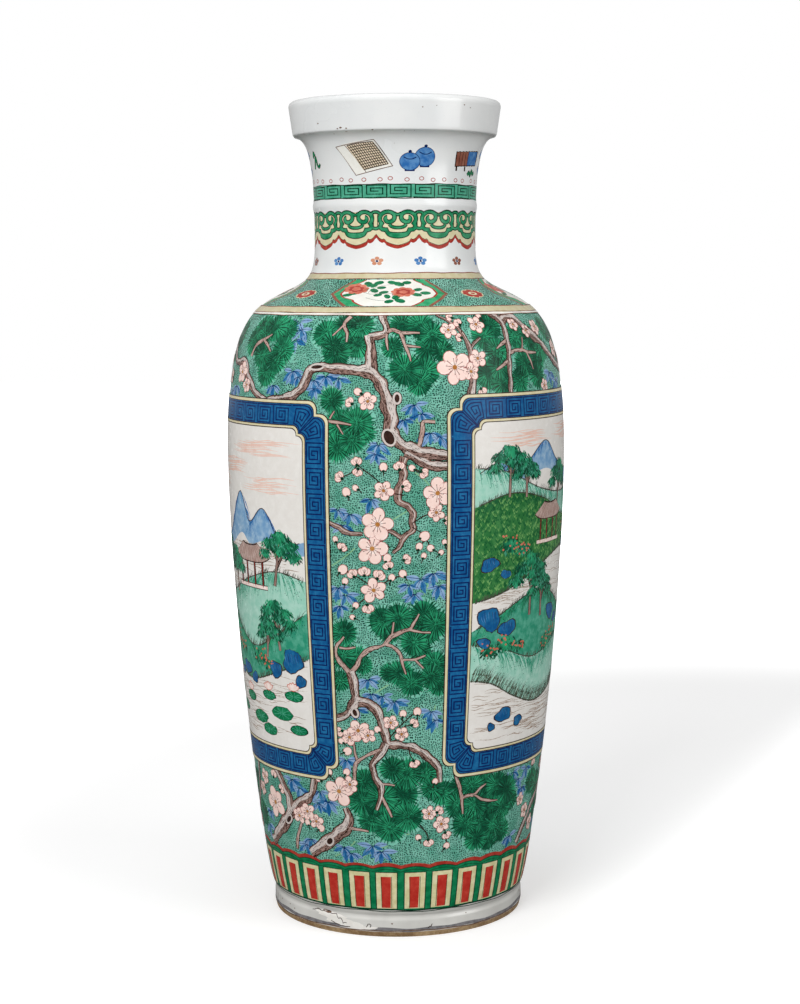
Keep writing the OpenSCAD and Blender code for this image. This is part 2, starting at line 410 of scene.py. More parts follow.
def bare_clay(name, thick, thin, roughness):
    """Unglazed porcelain: warm clay with turning marks and grains."""
    material, tree, shader = new_material(name)
    coords = node(tree, "ShaderNodeTexCoord").outputs["Object"]
    grain = node(tree, "ShaderNodeTexNoise",
                 {"Vector": coords, "Scale": 420.0, "Detail": 6.0, "Roughness": 0.7})
    stain = node(tree, "ShaderNodeTexNoise", {"Vector": coords, "Scale": 34.0, "Detail": 4.0})
    tone = ranged(tree, math_node(tree, "ADD", grain.outputs[0], stain.outputs[0]), 0.8, 1.25)
    feed(tree, shader, {"Base Color": mix_colour(tree, tone, srgb(*thick), srgb(*thin)),
                        "Roughness": roughness, "Normal": bump(tree, grain.outputs[0], CLAY_RELIEF)})
    return material


GLAZE = white_glaze("white_glaze", (233, 234, 233), (227, 229, 229))
FOOT_GLAZE = white_glaze("foot_glaze", (214, 213, 208), (196, 195, 190))
GROUND = stippled("stippled_green", (90, 162, 140), (136, 198, 180), (2, 40, 32), 1.08, 0.315)
SHOULDER_GROUND = stippled("stippled_shoulder_green", (98, 168, 146), (142, 198, 180), (2, 30, 26),
                           1.24, 0.36)
BISCUIT = bare_clay("foot_biscuit", (128, 100, 68), (176, 150, 112), 0.75)
SLIP = bare_clay("luting_slip", (206, 198, 184), (228, 222, 210), 0.6)
CLAY = bare_clay("bare_porcelain", (214, 206, 192), (232, 227, 217), 0.65)


# Turned sections

def add_object(name, mesh, materials):
    """Puts a mesh into the scene as a piece that rides on the vase."""
    piece = bpy.data.objects.new(name, mesh)
    bpy.context.scene.collection.objects.link(piece)
    for material in materials:
        mesh.materials.append(material)
    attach(piece, "root")
    return piece


def turned(name, stretches, materials):
    """Closed profile turned once round the axis: each stretch is a path of radius and height with its own
    normals and material numbers, and the corners where stretches meet stay sharp. The piece stands for the
    node of the same name."""
    points = np.concatenate([path[:-1] for path, _, _ in stretches])
    start_n = np.concatenate([normal[:-1] for _, normal, _ in stretches])
    end_n = np.concatenate([normal[1:] for _, normal, _ in stretches])
    finish = np.concatenate([kind for _, _, kind in stretches])
    count = len(points)
    run = np.r_[run_of(points), 0.0]
    run[-1] = run[-2] + np.hypot(*(points[0] - points[-1]))
    a = START + np.arange(ROUND_STEPS + 1) * 360.0 / ROUND_STEPS
    k, j = (grid.ravel() for grid in np.meshgrid(np.arange(count), np.arange(ROUND_STEPS), indexing="ij"))
    k1, j1 = (k + 1) % count, (j + 1) % ROUND_STEPS
    low, high = k * ROUND_STEPS, k1 * ROUND_STEPS
    faces = np.stack([low + j, low + j1, high + j1, high + j], 1)
    vertices = place(a[None, :-1], points[:, :1], points[:, 1:]).reshape(-1, 3)
    mesh = bpy.data.meshes.new(name)
    mesh.from_pydata(vertices, [], faces.tolist())
    mesh.polygons.foreach_set("use_smooth", np.ones(len(faces), bool))
    mesh.polygons.foreach_set("material_index", finish[k].astype(np.int32))
    corner_a = np.stack([a[j], a[j + 1], a[j + 1], a[j]], 1)
    nr, nz = np.stack([start_n[k], start_n[k], end_n[k], end_n[k]], 1).transpose(2, 0, 1)
    mesh.normals_split_custom_set(turned_normal(corner_a, nr, nz).reshape(-1, 3))
    corner_r = np.stack([points[k, 0], points[k, 0], points[k1, 0], points[k1, 0]], 1)
    corner_v = np.stack([run[k], run[k], run[k + 1], run[k + 1]], 1) + m_at(points[:, 1].min())
    wall_map = mesh.uv_layers.new(name="wall_map")
    wall_map.data.foreach_set("uv", np.stack([np.radians(corner_a) * corner_r, corner_v], -1).ravel())
    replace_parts(add_object(name, mesh, materials), name)


def with_normals(path, kind, normals=None):
    """A stretch of a profile: its points, normals square to it, and one material number per step."""
    path = np.array(path, float)
    if normals is None:
        ahead = np.gradient(path, axis=0)
        normals = np.stack([ahead[:, 1], -ahead[:, 0]], 1) / np.hypot(*ahead.T)[:, None]
    return path, normals, np.full(len(path) - 1, kind) if np.isscalar(kind) else kind


def straight(corners, kinds, step=np.inf):
    """Stretches from corner to corner, each with its material number."""
    return [with_normals(even(np.array([p, q], float), step), kind)
            for p, q, kind in zip(corners, corners[1:], kinds)]


def cut_line(line, z0, z1, step):
    """The stretch of an outline between two heights, at even steps."""
    ends = [[(np.interp(z, line[:, 1], line[:, 0]), z)] for z in (z0, z1)]
    inside = line[(line[:, 1] > z0 + 0.01) & (line[:, 1] < z1 - 0.01)]
    return even(join(ends[0], inside, ends[1]), step)


GREEN_FROM, GREEN_TO = 42.0, 350.0          # heights of the stippled body ground
SHOULDER_FROM, SHOULDER_TO = 350.0, 384.5   # heights of the stippled shoulder ground
FOOT_GLAZE_TO = 17.0
BARE_TO = 3.4                               # height of the foot's bare edge
WALL_FINISHES = [GLAZE, GROUND, SHOULDER_GROUND, SLIP, FOOT_GLAZE]
PLAIN, GREEN, SHOULDER_GREEN, SEAM, FOOT = range(len(WALL_FINISHES))


def outer_stretch(z0, z1):
    """The outer face between two heights, with the colour that its ground has at each height."""
    path = cut_line(OUTER, z0, z1, WALL_STEP)
    m = m_at(path[:, 1])
    normals = np.stack(at_height(m, LINE_NORMAL), 1)
    middle = (m[1:] + m[:-1]) / 2
    kind = np.where((middle > GREEN_FROM) & (middle < GREEN_TO), GREEN, PLAIN)
    kind = np.where((middle >= SHOULDER_FROM) & (middle < SHOULDER_TO), SHOULDER_GREEN, kind)
    kind = np.where(middle < FOOT_GLAZE_TO, FOOT, kind)
    return with_normals(path, kind, normals)


def wall_section(name, z0, z1, bead=0.0):
    """A turned ring of the wall between two heights; a slip seam also swells inside by its bead."""
    outer = outer_stretch(z0, z1)
    inner = cut_line(INNER, z0, z1, 3 * WALL_STEP)[::-1]
    if bead:
        t = np.linspace(0, 1, 7)
        inner = np.stack([inner[0, 0] + (inner[-1, 0] - inner[0, 0]) * t - bead * np.sin(np.pi * t),
                          z1 + (z0 - z1) * t], 1)
    stretches = [outer, with_normals([outer[0][-1], inner[0]], SEAM),
                 with_normals(inner, SEAM if bead else PLAIN), with_normals([inner[-1], outer[0][0]], SEAM)]
    turned(name, stretches, WALL_FINISHES)


def foot_ring():
    """The standing ring: glazed outside above its bare edge, with the seat for the base inside."""
    path, normals, _ = outer_stretch(0.0, FOOT_H)
    glazed, bare, clay = range(3)
    outer = path, normals, np.where(path[1:, 1] < BARE_TO, bare, glazed)
    inside = [(FOOT_R - FOOT_NECK[0], FOOT_H), (SEAT_R, FOOT_H), (SEAT_R, RECESS_H),
              (FOOT_R - FOOT_RING_W, RECESS_H), (FOOT_R - FOOT_RING_W, 0), (FOOT_R - FOOT_ARRIS[0], 0)]
    turned("foot_ring", [outer] + straight(inside, (clay, clay, clay, glazed, bare), 1.0),
           [FOOT_GLAZE, BISCUIT, CLAY])


def base_pieces():
    """The base disc, glazed below and above, and the coil pressed into the corner round it."""
    rim = SEAT_R - FIT_GAP
    pole = 0.02
    corners = [(pole, RECESS_H), (rim, RECESS_H), (rim, BASE_TOP_Z), (pole, BASE_TOP_Z), (pole, RECESS_H)]
    turned("base_disc", straight(corners, (0, 1, 0, 0), 6.0), [GLAZE, CLAY])
    top_z = BASE_TOP_Z + COIL_H
    toe = (rim - COIL_H, BASE_TOP_Z + COIL_TOE_T)
    top = (np.interp(top_z, INNER[:, 1], INNER[:, 0]) - FIT_GAP, top_z)
    hollow = bend(top, (top[0] - 0.35 * COIL_H, top_z - 0.5 * COIL_H),
                  (toe[0] + 0.5 * COIL_H, toe[1]), toe, 12)
    stretches = straight([(toe[0], BASE_TOP_Z), (rim, BASE_TOP_Z), top], (0, 0), 1.0)
    stretches += [with_normals(hollow, 0), with_normals([toe, (toe[0], BASE_TOP_Z)], 0)]
    turned("base_coil", stretches, [CLAY])


def foot_lute():
    """The slip seam between the foot ring and the body."""
    outer = outer_stretch(FOOT_H, BODY_Z)
    square = [(HEEL_R, BODY_Z), (SEAT_R, BODY_Z), (SEAT_R, FOOT_H), (FOOT_R - FOOT_NECK[0], FOOT_H)]
    turned("foot_lute", [outer] + straight(square, (SEAM, SEAM, SEAM)), WALL_FINISHES)


def mouth_rim():
    """The dished rim with its rolled lip."""
    start = face_z("mouth_rim", 0)
    outer = outer_stretch(start, LIP_Z)
    turn_over = np.linspace(0.0, np.pi / 2, 12)
    lip = np.stack([LIP_R - LIP_T / 2 - LIP_T / 2 * np.sin(turn_over),
                    LIP_Z - LIP_T / 2 * (1 - np.cos(turn_over))], 1)
    inner = cut_line(INNER, start, LIP_Z - LIP_T / 2, WALL_STEP)[::-1]
    stretches = [outer, with_normals(np.concatenate([lip, inner[1:]]), PLAIN),
                 with_normals([inner[-1], outer[0][0]], SEAM)]
    turned("mouth_rim", stretches, WALL_FINISHES)


foot_ring()
base_pieces()
foot_lute()
for section in ("lower_body", "upper_body", "shoulder", "neck"):
    wall_section(section, face_z(section, 0), face_z(section, 1))
for seam in ("waist_lute", "shoulder_lute", "neck_lute", "mouth_lute"):
    wall_section(seam, face_z(seam, 0), face_z(seam, 1), LUTE_BEAD)
mouth_rim()


# Brush work

# Thick and thin colour of each enamel and, where it differs, patch size and contrast
PALETTE = {
    "pine_green": ((10, 82, 56), (46, 160, 112), 110.0, 1.0),
    "needle_green": ((8, 48, 34), (14, 66, 46)),
    "needle_tip_green": ((112, 186, 164), (140, 206, 186)),
    "frame_blue": ((14, 82, 136), (38, 120, 168)),
    "navy_line": ((8, 28, 80), (14, 44, 100)),
    "pale_yellow": ((212, 202, 162), (228, 220, 190)),
    "brown_black_line": ((44, 28, 24), (72, 48, 40)),
    "red_brown_line": ((128, 74, 60), (160, 108, 88)),
    "petal_pink": ((236, 206, 196), (249, 234, 227), 330.0, 0.9),
    "petal_red_line": ((158, 78, 74), (186, 112, 104)),
    "stamen_brown": ((96, 50, 44), (124, 72, 62)),
    "stamen_ochre": ((168, 108, 52), (198, 146, 84)),
    "bark_aubergine": ((136, 107, 98), (174, 145, 134)),
    "bark_white": ((196, 184, 178), (220, 210, 204)),
    "bamboo_blue": ((22, 92, 148), (80, 140, 184), 250.0, 0.8),
    "fret_turquoise": ((62, 152, 122), (98, 184, 156)),
    "leaf_green": ((0, 106, 64), (34, 146, 96)),
    "iron_red": ((158, 46, 38), (186, 76, 60)),
    "dark_green_line": ((12, 46, 32), (22, 70, 48)),
    "coral_red": ((196, 96, 74), (220, 140, 116)),
    "jar_blue": ((44, 102, 168), (108, 158, 204)),
    "hatch_brown": ((96, 74, 62), (132, 108, 92)),
    "cream_white": ((232, 230, 222), (240, 239, 234)),
    "petal_blush": ((243, 212, 202), (247, 224, 215)),
    "bamboo_pale": ((116, 152, 194), (160, 188, 214)),
    "twig_pink": ((174, 145, 135), (204, 181, 171)),
    "stalk_green": ((120, 172, 128), (156, 198, 160)),
    "field_white": ((227, 223, 217), (235, 232, 227)),
    "celadon": ((150, 204, 184), (184, 220, 206)),
    "meadow_green": ((42, 110, 56), (74, 138, 76)),
    "tuft_green": ((18, 84, 44), (36, 108, 60)),
    "hill_green": ((44, 142, 112), (104, 184, 158)),
    "mist_blue": ((112, 156, 196), (176, 202, 218)),
    "cloud_red": ((230, 190, 174), (236, 206, 192)),
    "ripple_brown": ((150, 126, 108), (184, 164, 146)),
    "tuft_light": ((98, 156, 84), (126, 178, 108)),
    "tablet_tan": ((216, 200, 172), (230, 218, 196)),
    "chip_white": ((228, 225, 218), (238, 236, 231)),
    # grey of the band just above the foot's bare edge
    "foot_band_grey": ((104, 102, 104), (142, 140, 142)),
    "ruyi_green": ((16, 122, 78), (84, 174, 130)),
    "floret_orange": ((192, 126, 96), (214, 162, 134)),
    "lappet_yellow": ((206, 198, 148), (226, 220, 180), 250.0, 0.9),
    "band_yellow": ((196, 187, 150), (212, 204, 176)),
    "border_green": ((30, 142, 92), (88, 186, 136)),
    "grass_line": ((58, 66, 54), (92, 98, 80)),
    "lappet_red": ((178, 44, 36), (204, 74, 58)),
}
FIRED = {name: enamel(name, *tones) for name, tones in PALETTE.items()}
NARROW = 1.7   # widest line that needs no more than three points across


class Enamel:
    """One fired colour: gathers brush lines and filled shapes on the wall, then becomes one piece."""
    made = []

    def __init__(self, name, colour, slot="green_enamel_body"):
        self.made.append(self)
        self.name = name
        self.material = FIRED[colour]
        self.slot = slot
        self.points, self.normals, self.quads, self.tris = [], [], [], []
        self.count = 0

    def add(self, p, lift, quads, tris):
        """Adds like shapes: angles and heights (N, V, 2), lifts (V), and the faces of one shape."""
        shapes, size = p.shape[:2]
        first = self.count + size * np.arange(shapes)[:, None, None]
        a, m = p[..., 0], p[..., 1]
        self.points.append(on_wall(a, m, np.broadcast_to(lift, (shapes, size))).reshape(-1, 3))
        self.normals.append(wall_normal(a, m).reshape(-1, 3))
        self.quads.append((first + quads).reshape(-1, 4))
        self.tris.append((first + tris).reshape(-1, 3))
        self.count += shapes * size

    def ribbons(self, left, right, layer, closed=False, crown=0.3, spread=NARROW):
        """Bands between pairs of lines (N, T, 2), the first on the left of the way they run: a flat section
        with a slight crown whose edges sink into the layer below. A broad band gets more points across,
        a spread apart, above and below, so that it follows the curve of the wall."""
        left, right = np.broadcast_arrays(left, right)
        reach = right - left
        broad = np.hypot(np.radians(reach[..., 0]) * wall_radius(left[..., 1]), reach[..., 1]).max()
        f = np.array([0, 0.5, 1])
        if broad > NARROW:
            edge = min(0.1, 0.4 / broad)
            f = np.r_[0, np.linspace(edge, 1 - edge, 1 + int(np.ceil(broad / spread))), 1]
        lift = np.where(f % 1 == 0, layer - 0.8, layer + crown * (1 - (2 * f - 1) ** 2))
        if broad > NARROW:
            lift = np.r_[lift, np.full(len(f) - 2, layer - 0.9)]
            f = np.r_[f, f[-2:0:-1]]
        p = left[:, :, None] + reach[:, :, None] * f[:, None]
        shapes, steps, across = p.shape[:3]
        index = np.arange(steps * across).reshape(steps, across)
        here, ahead = (index, np.roll(index, -1, 0)) if closed else (index[:-1], index[1:])
        quads = np.stack([here, np.roll(here, -1, 1), np.roll(ahead, -1, 1), ahead], -1).reshape(-1, 4)
        k = np.arange(1, across - 1)
        fan = np.stack([0 * k, k + 1, k], 1)
        tris = fan[:0] if closed else np.concatenate([fan, fan[:, [0, 2, 1]] + (steps - 1) * across])
        self.add(p.reshape(shapes, -1, 2), np.tile(LAYER * lift, steps), quads, tris)

    def strokes(self, paths, width, layer, shift=0.0, **shape):
        """Brush lines along paths (N, T, 2): each point is moved half a width to both sides, square to the
        path with mitred corners, after a sideways shift to the left."""
        paths = np.array(paths, float)
        paths = paths[None] if paths.ndim == 2 else paths
        closed = shape.get("closed", False)
        radius = wall_radius(paths[..., 1])
        ahead = np.roll(paths, -1, 1) - paths
        normal = np.stack([-ahead[..., 1], np.radians(ahead[..., 0]) * radius], -1)
        normal /= np.hypot(normal[..., 0], normal[..., 1])[..., None] + 1e-9
        if not closed:
            normal[:, -1] = normal[:, -2]
        before = np.roll(normal, 1, 1)
        if not closed:
            before[:, 0] = normal[:, 0]
        mitre = normal + before
        mitre /= np.hypot(mitre[..., 0], mitre[..., 1])[..., None] + 1e-9
        mitre /= np.clip((mitre * normal).sum(-1), 0.5, 1)[..., None]
        mitre[..., 0] = np.degrees(mitre[..., 0] / radius)
        half = np.broadcast_to(np.asarray(width) / 2, paths.shape[:2])[..., None]
        middle = paths + mitre * np.broadcast_to(np.asarray(shift), paths.shape[:2])[..., None]
        self.ribbons(middle + mitre * half, middle - mitre * half, layer, **shape)

    def domes(self, a0, m0, x, y, layer, rings=(1.0, 0.86), crown=0.4):
        """Filled shapes: outlines (N, S) of local x and y, counterclockwise round places on the wall, shrunk
        ring by ring to a middle that stands a little higher. The underside is shrunk the same way, a layer
        lower, so that the shape is closed."""
        a0, m0 = (np.atleast_1d(np.asarray(v, float))[:, None] for v in (a0, m0))
        x, y = np.broadcast_arrays(np.atleast_2d(x), np.atleast_2d(y))
        size = x.shape[1]
        under = np.array(rings[1:] if len(rings) > 2 else [])
        f = np.r_[rings, under]
        flat = [np.concatenate([(v[:, None] * f[:, None]).reshape(len(v), -1), np.zeros((len(v), 2))], 1)
                for v in (x, y)]
        heights = np.r_[layer - 0.8, layer + crown * (1 - np.array(rings[1:]) ** 2),
                        0 * under + layer - 0.9]
        lift = np.r_[np.repeat(heights, size), layer + crown, layer - 0.9]
        s = np.arange(size)
        after = np.roll(s, -1)
        top_rings = size * np.arange(len(rings))
        under_rings = np.r_[0, size * np.arange(len(rings), len(f))]
        steps = ([(low, high) for low, high in zip(top_rings, top_rings[1:])]
                 + [(high, low) for low, high in zip(under_rings, under_rings[1:])])
        quads = np.concatenate([np.stack([o + s, o + after, i + after, i + s], -1) for o, i in steps])
        top, bottom = size * len(f), size * len(f) + 1
        tris = np.concatenate([np.stack([top_rings[-1] + s, top_rings[-1] + after, 0 * s + top], 1),
                               np.stack([under_rings[-1] + after, under_rings[-1] + s, 0 * s + bottom], 1)])
        self.add(local(a0, m0, *flat), LAYER * lift, quads, tris)

    def piece(self):
        """Makes the gathered shapes one mesh with the wall's own normals."""
        points, normals, quads, tris = (np.concatenate(part) for part in
                                        (self.points, self.normals, self.quads, self.tris))
        mesh = bpy.data.meshes.new(self.name)
        mesh.from_pydata(points, [], quads.tolist() + tris.tolist())
        mesh.polygons.foreach_set("use_smooth", np.ones(len(mesh.polygons), bool))
        mesh.normals_split_custom_set_from_vertices(normals)
        add_object(self.name, mesh, [self.material])


def enamels(slot="green_enamel_body", **colours):
    """New enamels, each given as name and colour."""
    return [Enamel(name, colour, slot) for name, colour in colours.items()]


def disc(radius_x, radius_y, points):
    """Local x and y of an ellipse, counterclockwise; the radii may be columns, or change round it."""
    t = np.linspace(0, 2 * np.pi, points, endpoint=False)
    return radius_x * np.cos(t), radius_y * np.sin(t)


def turned_by(x, y, degrees):
    """Local points turned counterclockwise; degrees may hold one value per shape, as a column."""
    c, s = np.cos(np.radians(degrees)), np.sin(np.radians(degrees))
    return c * x - s * y, s * x + c * y


ROUND = np.linspace(START, START + 360, 360, endpoint=False)


def wander(size):
    """Slow waver of a hand-drawn ring: three sine waves round the vase with seeded phases."""
    phase = rng.uniform(0, 2 * np.pi, 3)
    return size / 2 * sum(np.sin(np.radians(n * ROUND) + p) for n, p in zip((3, 8, 19), phase))


def ring_lines(top, bottom):
    """Upper and lower line of a band right round the vase."""
    return [np.stack(np.broadcast_arrays(ROUND, edge), -1)[None] for edge in (top, bottom)]


def ring_line(enamel_piece, m, width, layer, waver=0.25):
    """One hand-drawn line right round the vase."""
    middle = m + wander(waver)
    enamel_piece.ribbons(*ring_lines(middle + width / 2, middle - width / 2), layer, closed=True)


def every(count, start=0.0):
    """Angles of a motif repeated evenly round the vase."""
    return start + np.arange(count) * 360.0 / count


# Neck

NECK_BAND = (383.0, 386.8)
SHOULDER_BAND = (348.6, 353.0)
WHITE_LINE = 347.7
SHOULDER_BAND_LAYER = 12.8
FRET_BAND = (427.9, 435.4)
FRET_COUNT, FRET_START = 21, -56.5
FRET_SIZE = (13.5, 7.5)
DOT_COUNT, DOT_START, DOT_M = 38, -2.0, 437.9
RUYI_COUNT, RUYI_START, RUYI_TOP = 12, 1.8, 420.2
BRACKET_LOW, BRACKET_RISE = 400.2, 5.0
POST_X, POST_HALF, POST_M = 11.85, 1.15, (412.4, 414.5, 416.6, 418.7)
FLORET_COLOURS = ("jar_blue", "floret_orange", "jar_blue", "red_brown_line")
FLORET_START, FLORET_M = -42.5, 393.6
SQUARE_SPIRAL = [(0.05, 0.06), (0.95, 0.06), (0.95, 0.94), (0.13, 0.94), (0.13, 0.28), (0.79, 0.28),
                 (0.79, 0.73), (0.30, 0.73), (0.30, 0.50), (0.62, 0.50)]


def yellow_bands():
    """Pale yellow rings at the foot of the neck and under the shoulder, each between red-brown lines, with
    a white line under the lower one."""
    yellow, lines, white = enamels(yellow_bands="band_yellow", yellow_band_lines="red_brown_line",
                                   shoulder_white_line="cream_white")
    ring_line(white, WHITE_LINE, 1.5, SHOULDER_BAND_LAYER)
    ring_line(lines, WHITE_LINE - 0.8, 0.4, SHOULDER_BAND_LAYER + 1)
    for (low, high), layer in ((NECK_BAND, 2), (SHOULDER_BAND, SHOULDER_BAND_LAYER)):
        yellow.ribbons(*ring_lines(high + wander(0.3), low + wander(0.3)), layer, closed=True)
        for m, width in ((low, 0.45), (high, 0.6)):
            ring_line(lines, m, width, layer + 1)


def key_fret_band():
    """Turquoise band of squared spirals: the same cornered path repeated round the neck in dark line."""
    low, high = FRET_BAND
    ground, lines, dots = enamels("white_glaze", fret_band="fret_turquoise", fret_lines="dark_green_line",
                                  red_ring_dots="petal_red_line")
    ground.ribbons(*ring_lines(high + wander(0.35), low + wander(0.25)), 2, closed=True)
    pitch = 360.0 / FRET_COUNT
    unit = steps_between(np.array(SQUARE_SPIRAL) * FRET_SIZE, 2.0) / FRET_SIZE
    start = every(FRET_COUNT, FRET_START)[:, None] + rng.uniform(-0.5, 0.5, (FRET_COUNT, 1))
    tall = rng.uniform(0.94, 1.04, (FRET_COUNT, 1))
    paths = np.stack([start + pitch * unit[:, 0], low + (high - low) * tall * unit[:, 1]], -1)
    lines.strokes(paths, 0.7, 3)
    for m in FRET_BAND:
        ring_line(lines, m, 0.45, 3)
    centre = every(DOT_COUNT, DOT_START)[:, None] + rng.uniform(-1.6, 1.6, (DOT_COUNT, 1))
    up = DOT_M + rng.uniform(-0.3, 0.5, (DOT_COUNT, 1))
    dots.strokes(local(centre, up, *disc(1.25, 0.95, 10)), 0.42, 1, closed=True)


def ruyi_paths():
    """Lines of one ruyi head, in mm from its middle: on each side a volute that winds out of its own
    centre, over the top and down into a side lobe and half of the bottom lobe; then the inner bowl, the
    link over the cleft and the link to the next head."""
    turn = np.linspace(-250, 222, 36)
    reach = np.interp(turn, (-250, -150, -40, 45, 222), (0.9, 1.5, 2.7, 4.3, 4.6))
    turn = np.radians(turn)
    volute = np.stack([-5.4 + reach * np.cos(turn), 416.6 + 0.84 * reach * np.sin(turn)], 1)
    lobes = smooth([(-9.3, 413.4), (-9.6, 412.0), (-8.4, 410.8), (-6.4, 410.6)], 0.9)
    bottom = smooth([(-6.1, 409.8), (-5.0, 408.4), (-2.6, 407.7), (0.0, 407.5)], 0.9)
    side = np.concatenate([volute, lobes, bottom])
    smile = np.concatenate([bottom, (bottom * (-1, 1))[-2::-1]])
    bowl = smooth([(-4.6, 413.6), (-3.6, 412.4), (-1.8, 411.8), (0, 411.7), (1.8, 411.8), (3.6, 412.4),
                   (4.6, 413.6)], 1.0)
    cleft = smooth([(-2.4, 419.7), (-1.2, 419.2), (0, 418.6), (1.2, 419.2), (2.4, 419.7)], 1.0)
    link = smooth([(9.4, 419.2), (10.6, 420.0), (11.85, 420.2), (13.1, 420.0), (14.3, 419.2)], 1.0)
    foot = smooth([(9.2, 412.2), (10.6, 411.5), (11.85, 411.2), (13.1, 411.5), (14.5, 412.2)], 1.0)
    swell = 1.6 + 1.1 * np.sin(np.linspace(0, np.pi, len(smile)))
    rest = [(smile, swell), (bowl, 1.2), (cleft, 1.0), (link, 1.3), (foot, 1.2)]
    return [(path, 1.75) for path in (side, side * (-1, 1))] + rest


def ruyi_band():
    """Collar of ruyi heads over a yellow bracket border edged in iron red: green lines with dark edges on a
    yellow ground, with a pale post between heads."""
    heads = every(RUYI_COUNT, RUYI_START)
    half = 180.0 / RUYI_COUNT
    share = np.abs((ROUND - RUYI_START + half) % (2 * half) - half) / half
    bracket = BRACKET_LOW + BRACKET_RISE * share**1.5 + 1.3 * np.clip(1 - np.abs(share - 0.62) / 0.09, 0, 1)
    bracket += 1.2 * np.clip((share - 0.86) / 0.14, 0, 1)
    red, yellow, dark, green = enamels("white_glaze", bracket_red_edge="iron_red",
                                       bracket_yellow="pale_yellow", ruyi_outlines="dark_green_line",
                                       ruyi_heads="ruyi_green")
    red.ribbons(*ring_lines(bracket + 2.3, bracket + wander(0.2)), 1, closed=True)
    yellow.ribbons(*ring_lines(RUYI_TOP + wander(0.2), bracket + 2.0 + wander(0.15)), 2, closed=True)
    dark.ribbons(*ring_lines(bracket + 2.2, bracket + 1.9), 3, closed=True)
    to_wall = (np.degrees(1 / NECK_R), 1)
    jitter = rng.uniform(-1, 1, (RUYI_COUNT, 1, 2)) * (0.35, 0.12)
    shift = np.stack([heads, 0 * heads], -1)[:, None] + jitter
    for path, width in ruyi_paths():
        dark.strokes(path * to_wall + shift, width + 0.9, 3)
        green.strokes(path * to_wall + shift, width - 0.2, 4)
    for side in (-1, 1):
        post = np.array([(POST_X + side * POST_HALF, m) for m in POST_M]) * to_wall
        dark.strokes(post + shift, 0.45, 3)


def neck_florets():
    """Small five-petalled florets round the foot of the neck, in turn blue, coral, blue and iron red."""
    for number, colour in enumerate(FLORET_COLOURS):
        floret = Enamel(f"neck_florets_{number + 1}", colour, "white_glaze")
        a0 = every(3, FLORET_START + 30 * number)
        for petal in range(5):
            x, y = turned_by(1.9, 0.0, 72 * petal + 90)
            a = a0 + np.degrees(x * 1.25 / NECK_R)
            floret.domes(a, FLORET_M + 0 * a0 + y * 0.8, *disc(1.35, 1.0, 9), 1)
    eyes = Enamel("neck_floret_eyes", "navy_line", "white_glaze")
    eyes.domes(every(12, FLORET_START), np.full(12, FLORET_M), *disc(0.75, 0.6, 8), 3)


yellow_bands()
key_fret_band()
ruyi_band()
neck_florets()


# Lower border

LAPPET_COUNT, LAPPET_START = 31, 7.0
LAPPET_HALF = 180.0 / LAPPET_COUNT
ARCH_TOP, ARCH_DROP = 42.9, 1.6
BORDER_LOW = 16.2
# Half widths at the lower and upper edge, and those edges
LAPPET_PANEL = (4.3, 4.4, 17.4, 39.2)
LAPPET_BAR = (1.85, 2.15, 17.9, 36.8)
# Upright lines of a lappet: degrees from its middle, lower and upper end, width
LAPPET_RULES = [(4.45, 16.8, 39.6, 0.5), (2.1, 17.9, 36.9, 0.3)]
LAPPET_TOP_LINE = 39.4


def upright(a0, half_low, half_high, m_low, m_high, rows=12):
    """Edges of upright panels: left and right lines from top to bottom, half widths in degrees."""
    m = np.linspace(m_high, m_low, rows)
    half = np.interp(m, (m_low, m_high), (half_low, half_high))
    return [np.stack(np.broadcast_arrays(a0[:, None] + sign * half, m), -1) for sign in (1, -1)]


def lappet_border():
    """Row of upright lappets: iron-red bars in yellow panels between green dividers, scalloped green arches
    above, a wavy red line over them and dark green lines below."""
    centres = every(LAPPET_COUNT, LAPPET_START)
    across = (ROUND - LAPPET_START + LAPPET_HALF) % (2 * LAPPET_HALF) - LAPPET_HALF
    arch = ARCH_TOP - ARCH_DROP * (np.abs(across) / LAPPET_HALF) ** 2
    green, yellow, red, dark, wavy = enamels(lappet_green="leaf_green", lappet_panels="lappet_yellow",
                                             lappet_red="lappet_red", lappet_lines="dark_green_line",
                                             wavy_red_line="iron_red")
    green.ribbons(*ring_lines(arch, BORDER_LOW), 2, closed=True)
    wobble = rng.uniform(-0.4, 0.4, LAPPET_COUNT)
    yellow.ribbons(*upright(centres + wobble, *LAPPET_PANEL), 4)
    bars = centres + wobble + rng.uniform(-0.3, 0.3, LAPPET_COUNT)
    red.ribbons(*upright(bars, *LAPPET_BAR), 5)
    for side in (-1, 1):
        for offset, low, high, width in LAPPET_RULES:
            edge = upright(centres + wobble + side * offset, 0.0, 0.1, low, high)[0]
            dark.strokes(edge, width, 5.6)
    top = np.stack([(centres + wobble)[:, None] + np.linspace(-4.4, 4.4, 5),
                    np.full((LAPPET_COUNT, 5), LAPPET_TOP_LINE)], -1)
    dark.strokes(top, 0.5, 5)
    dark.ribbons(*ring_lines(arch + 0.25, arch - 0.25), 5, closed=True)
    dark.ribbons(*ring_lines(arch - 1.5, arch - 1.8), 5, closed=True)
    for m, width in ((16.6, 0.9), (15.4, 0.5)):
        ring_line(dark, m, width, 5, 0.4)
    wavy.ribbons(*ring_lines(arch + 2.0 + wander(0.4), arch + 0.2), 2, closed=True)


lappet_border()


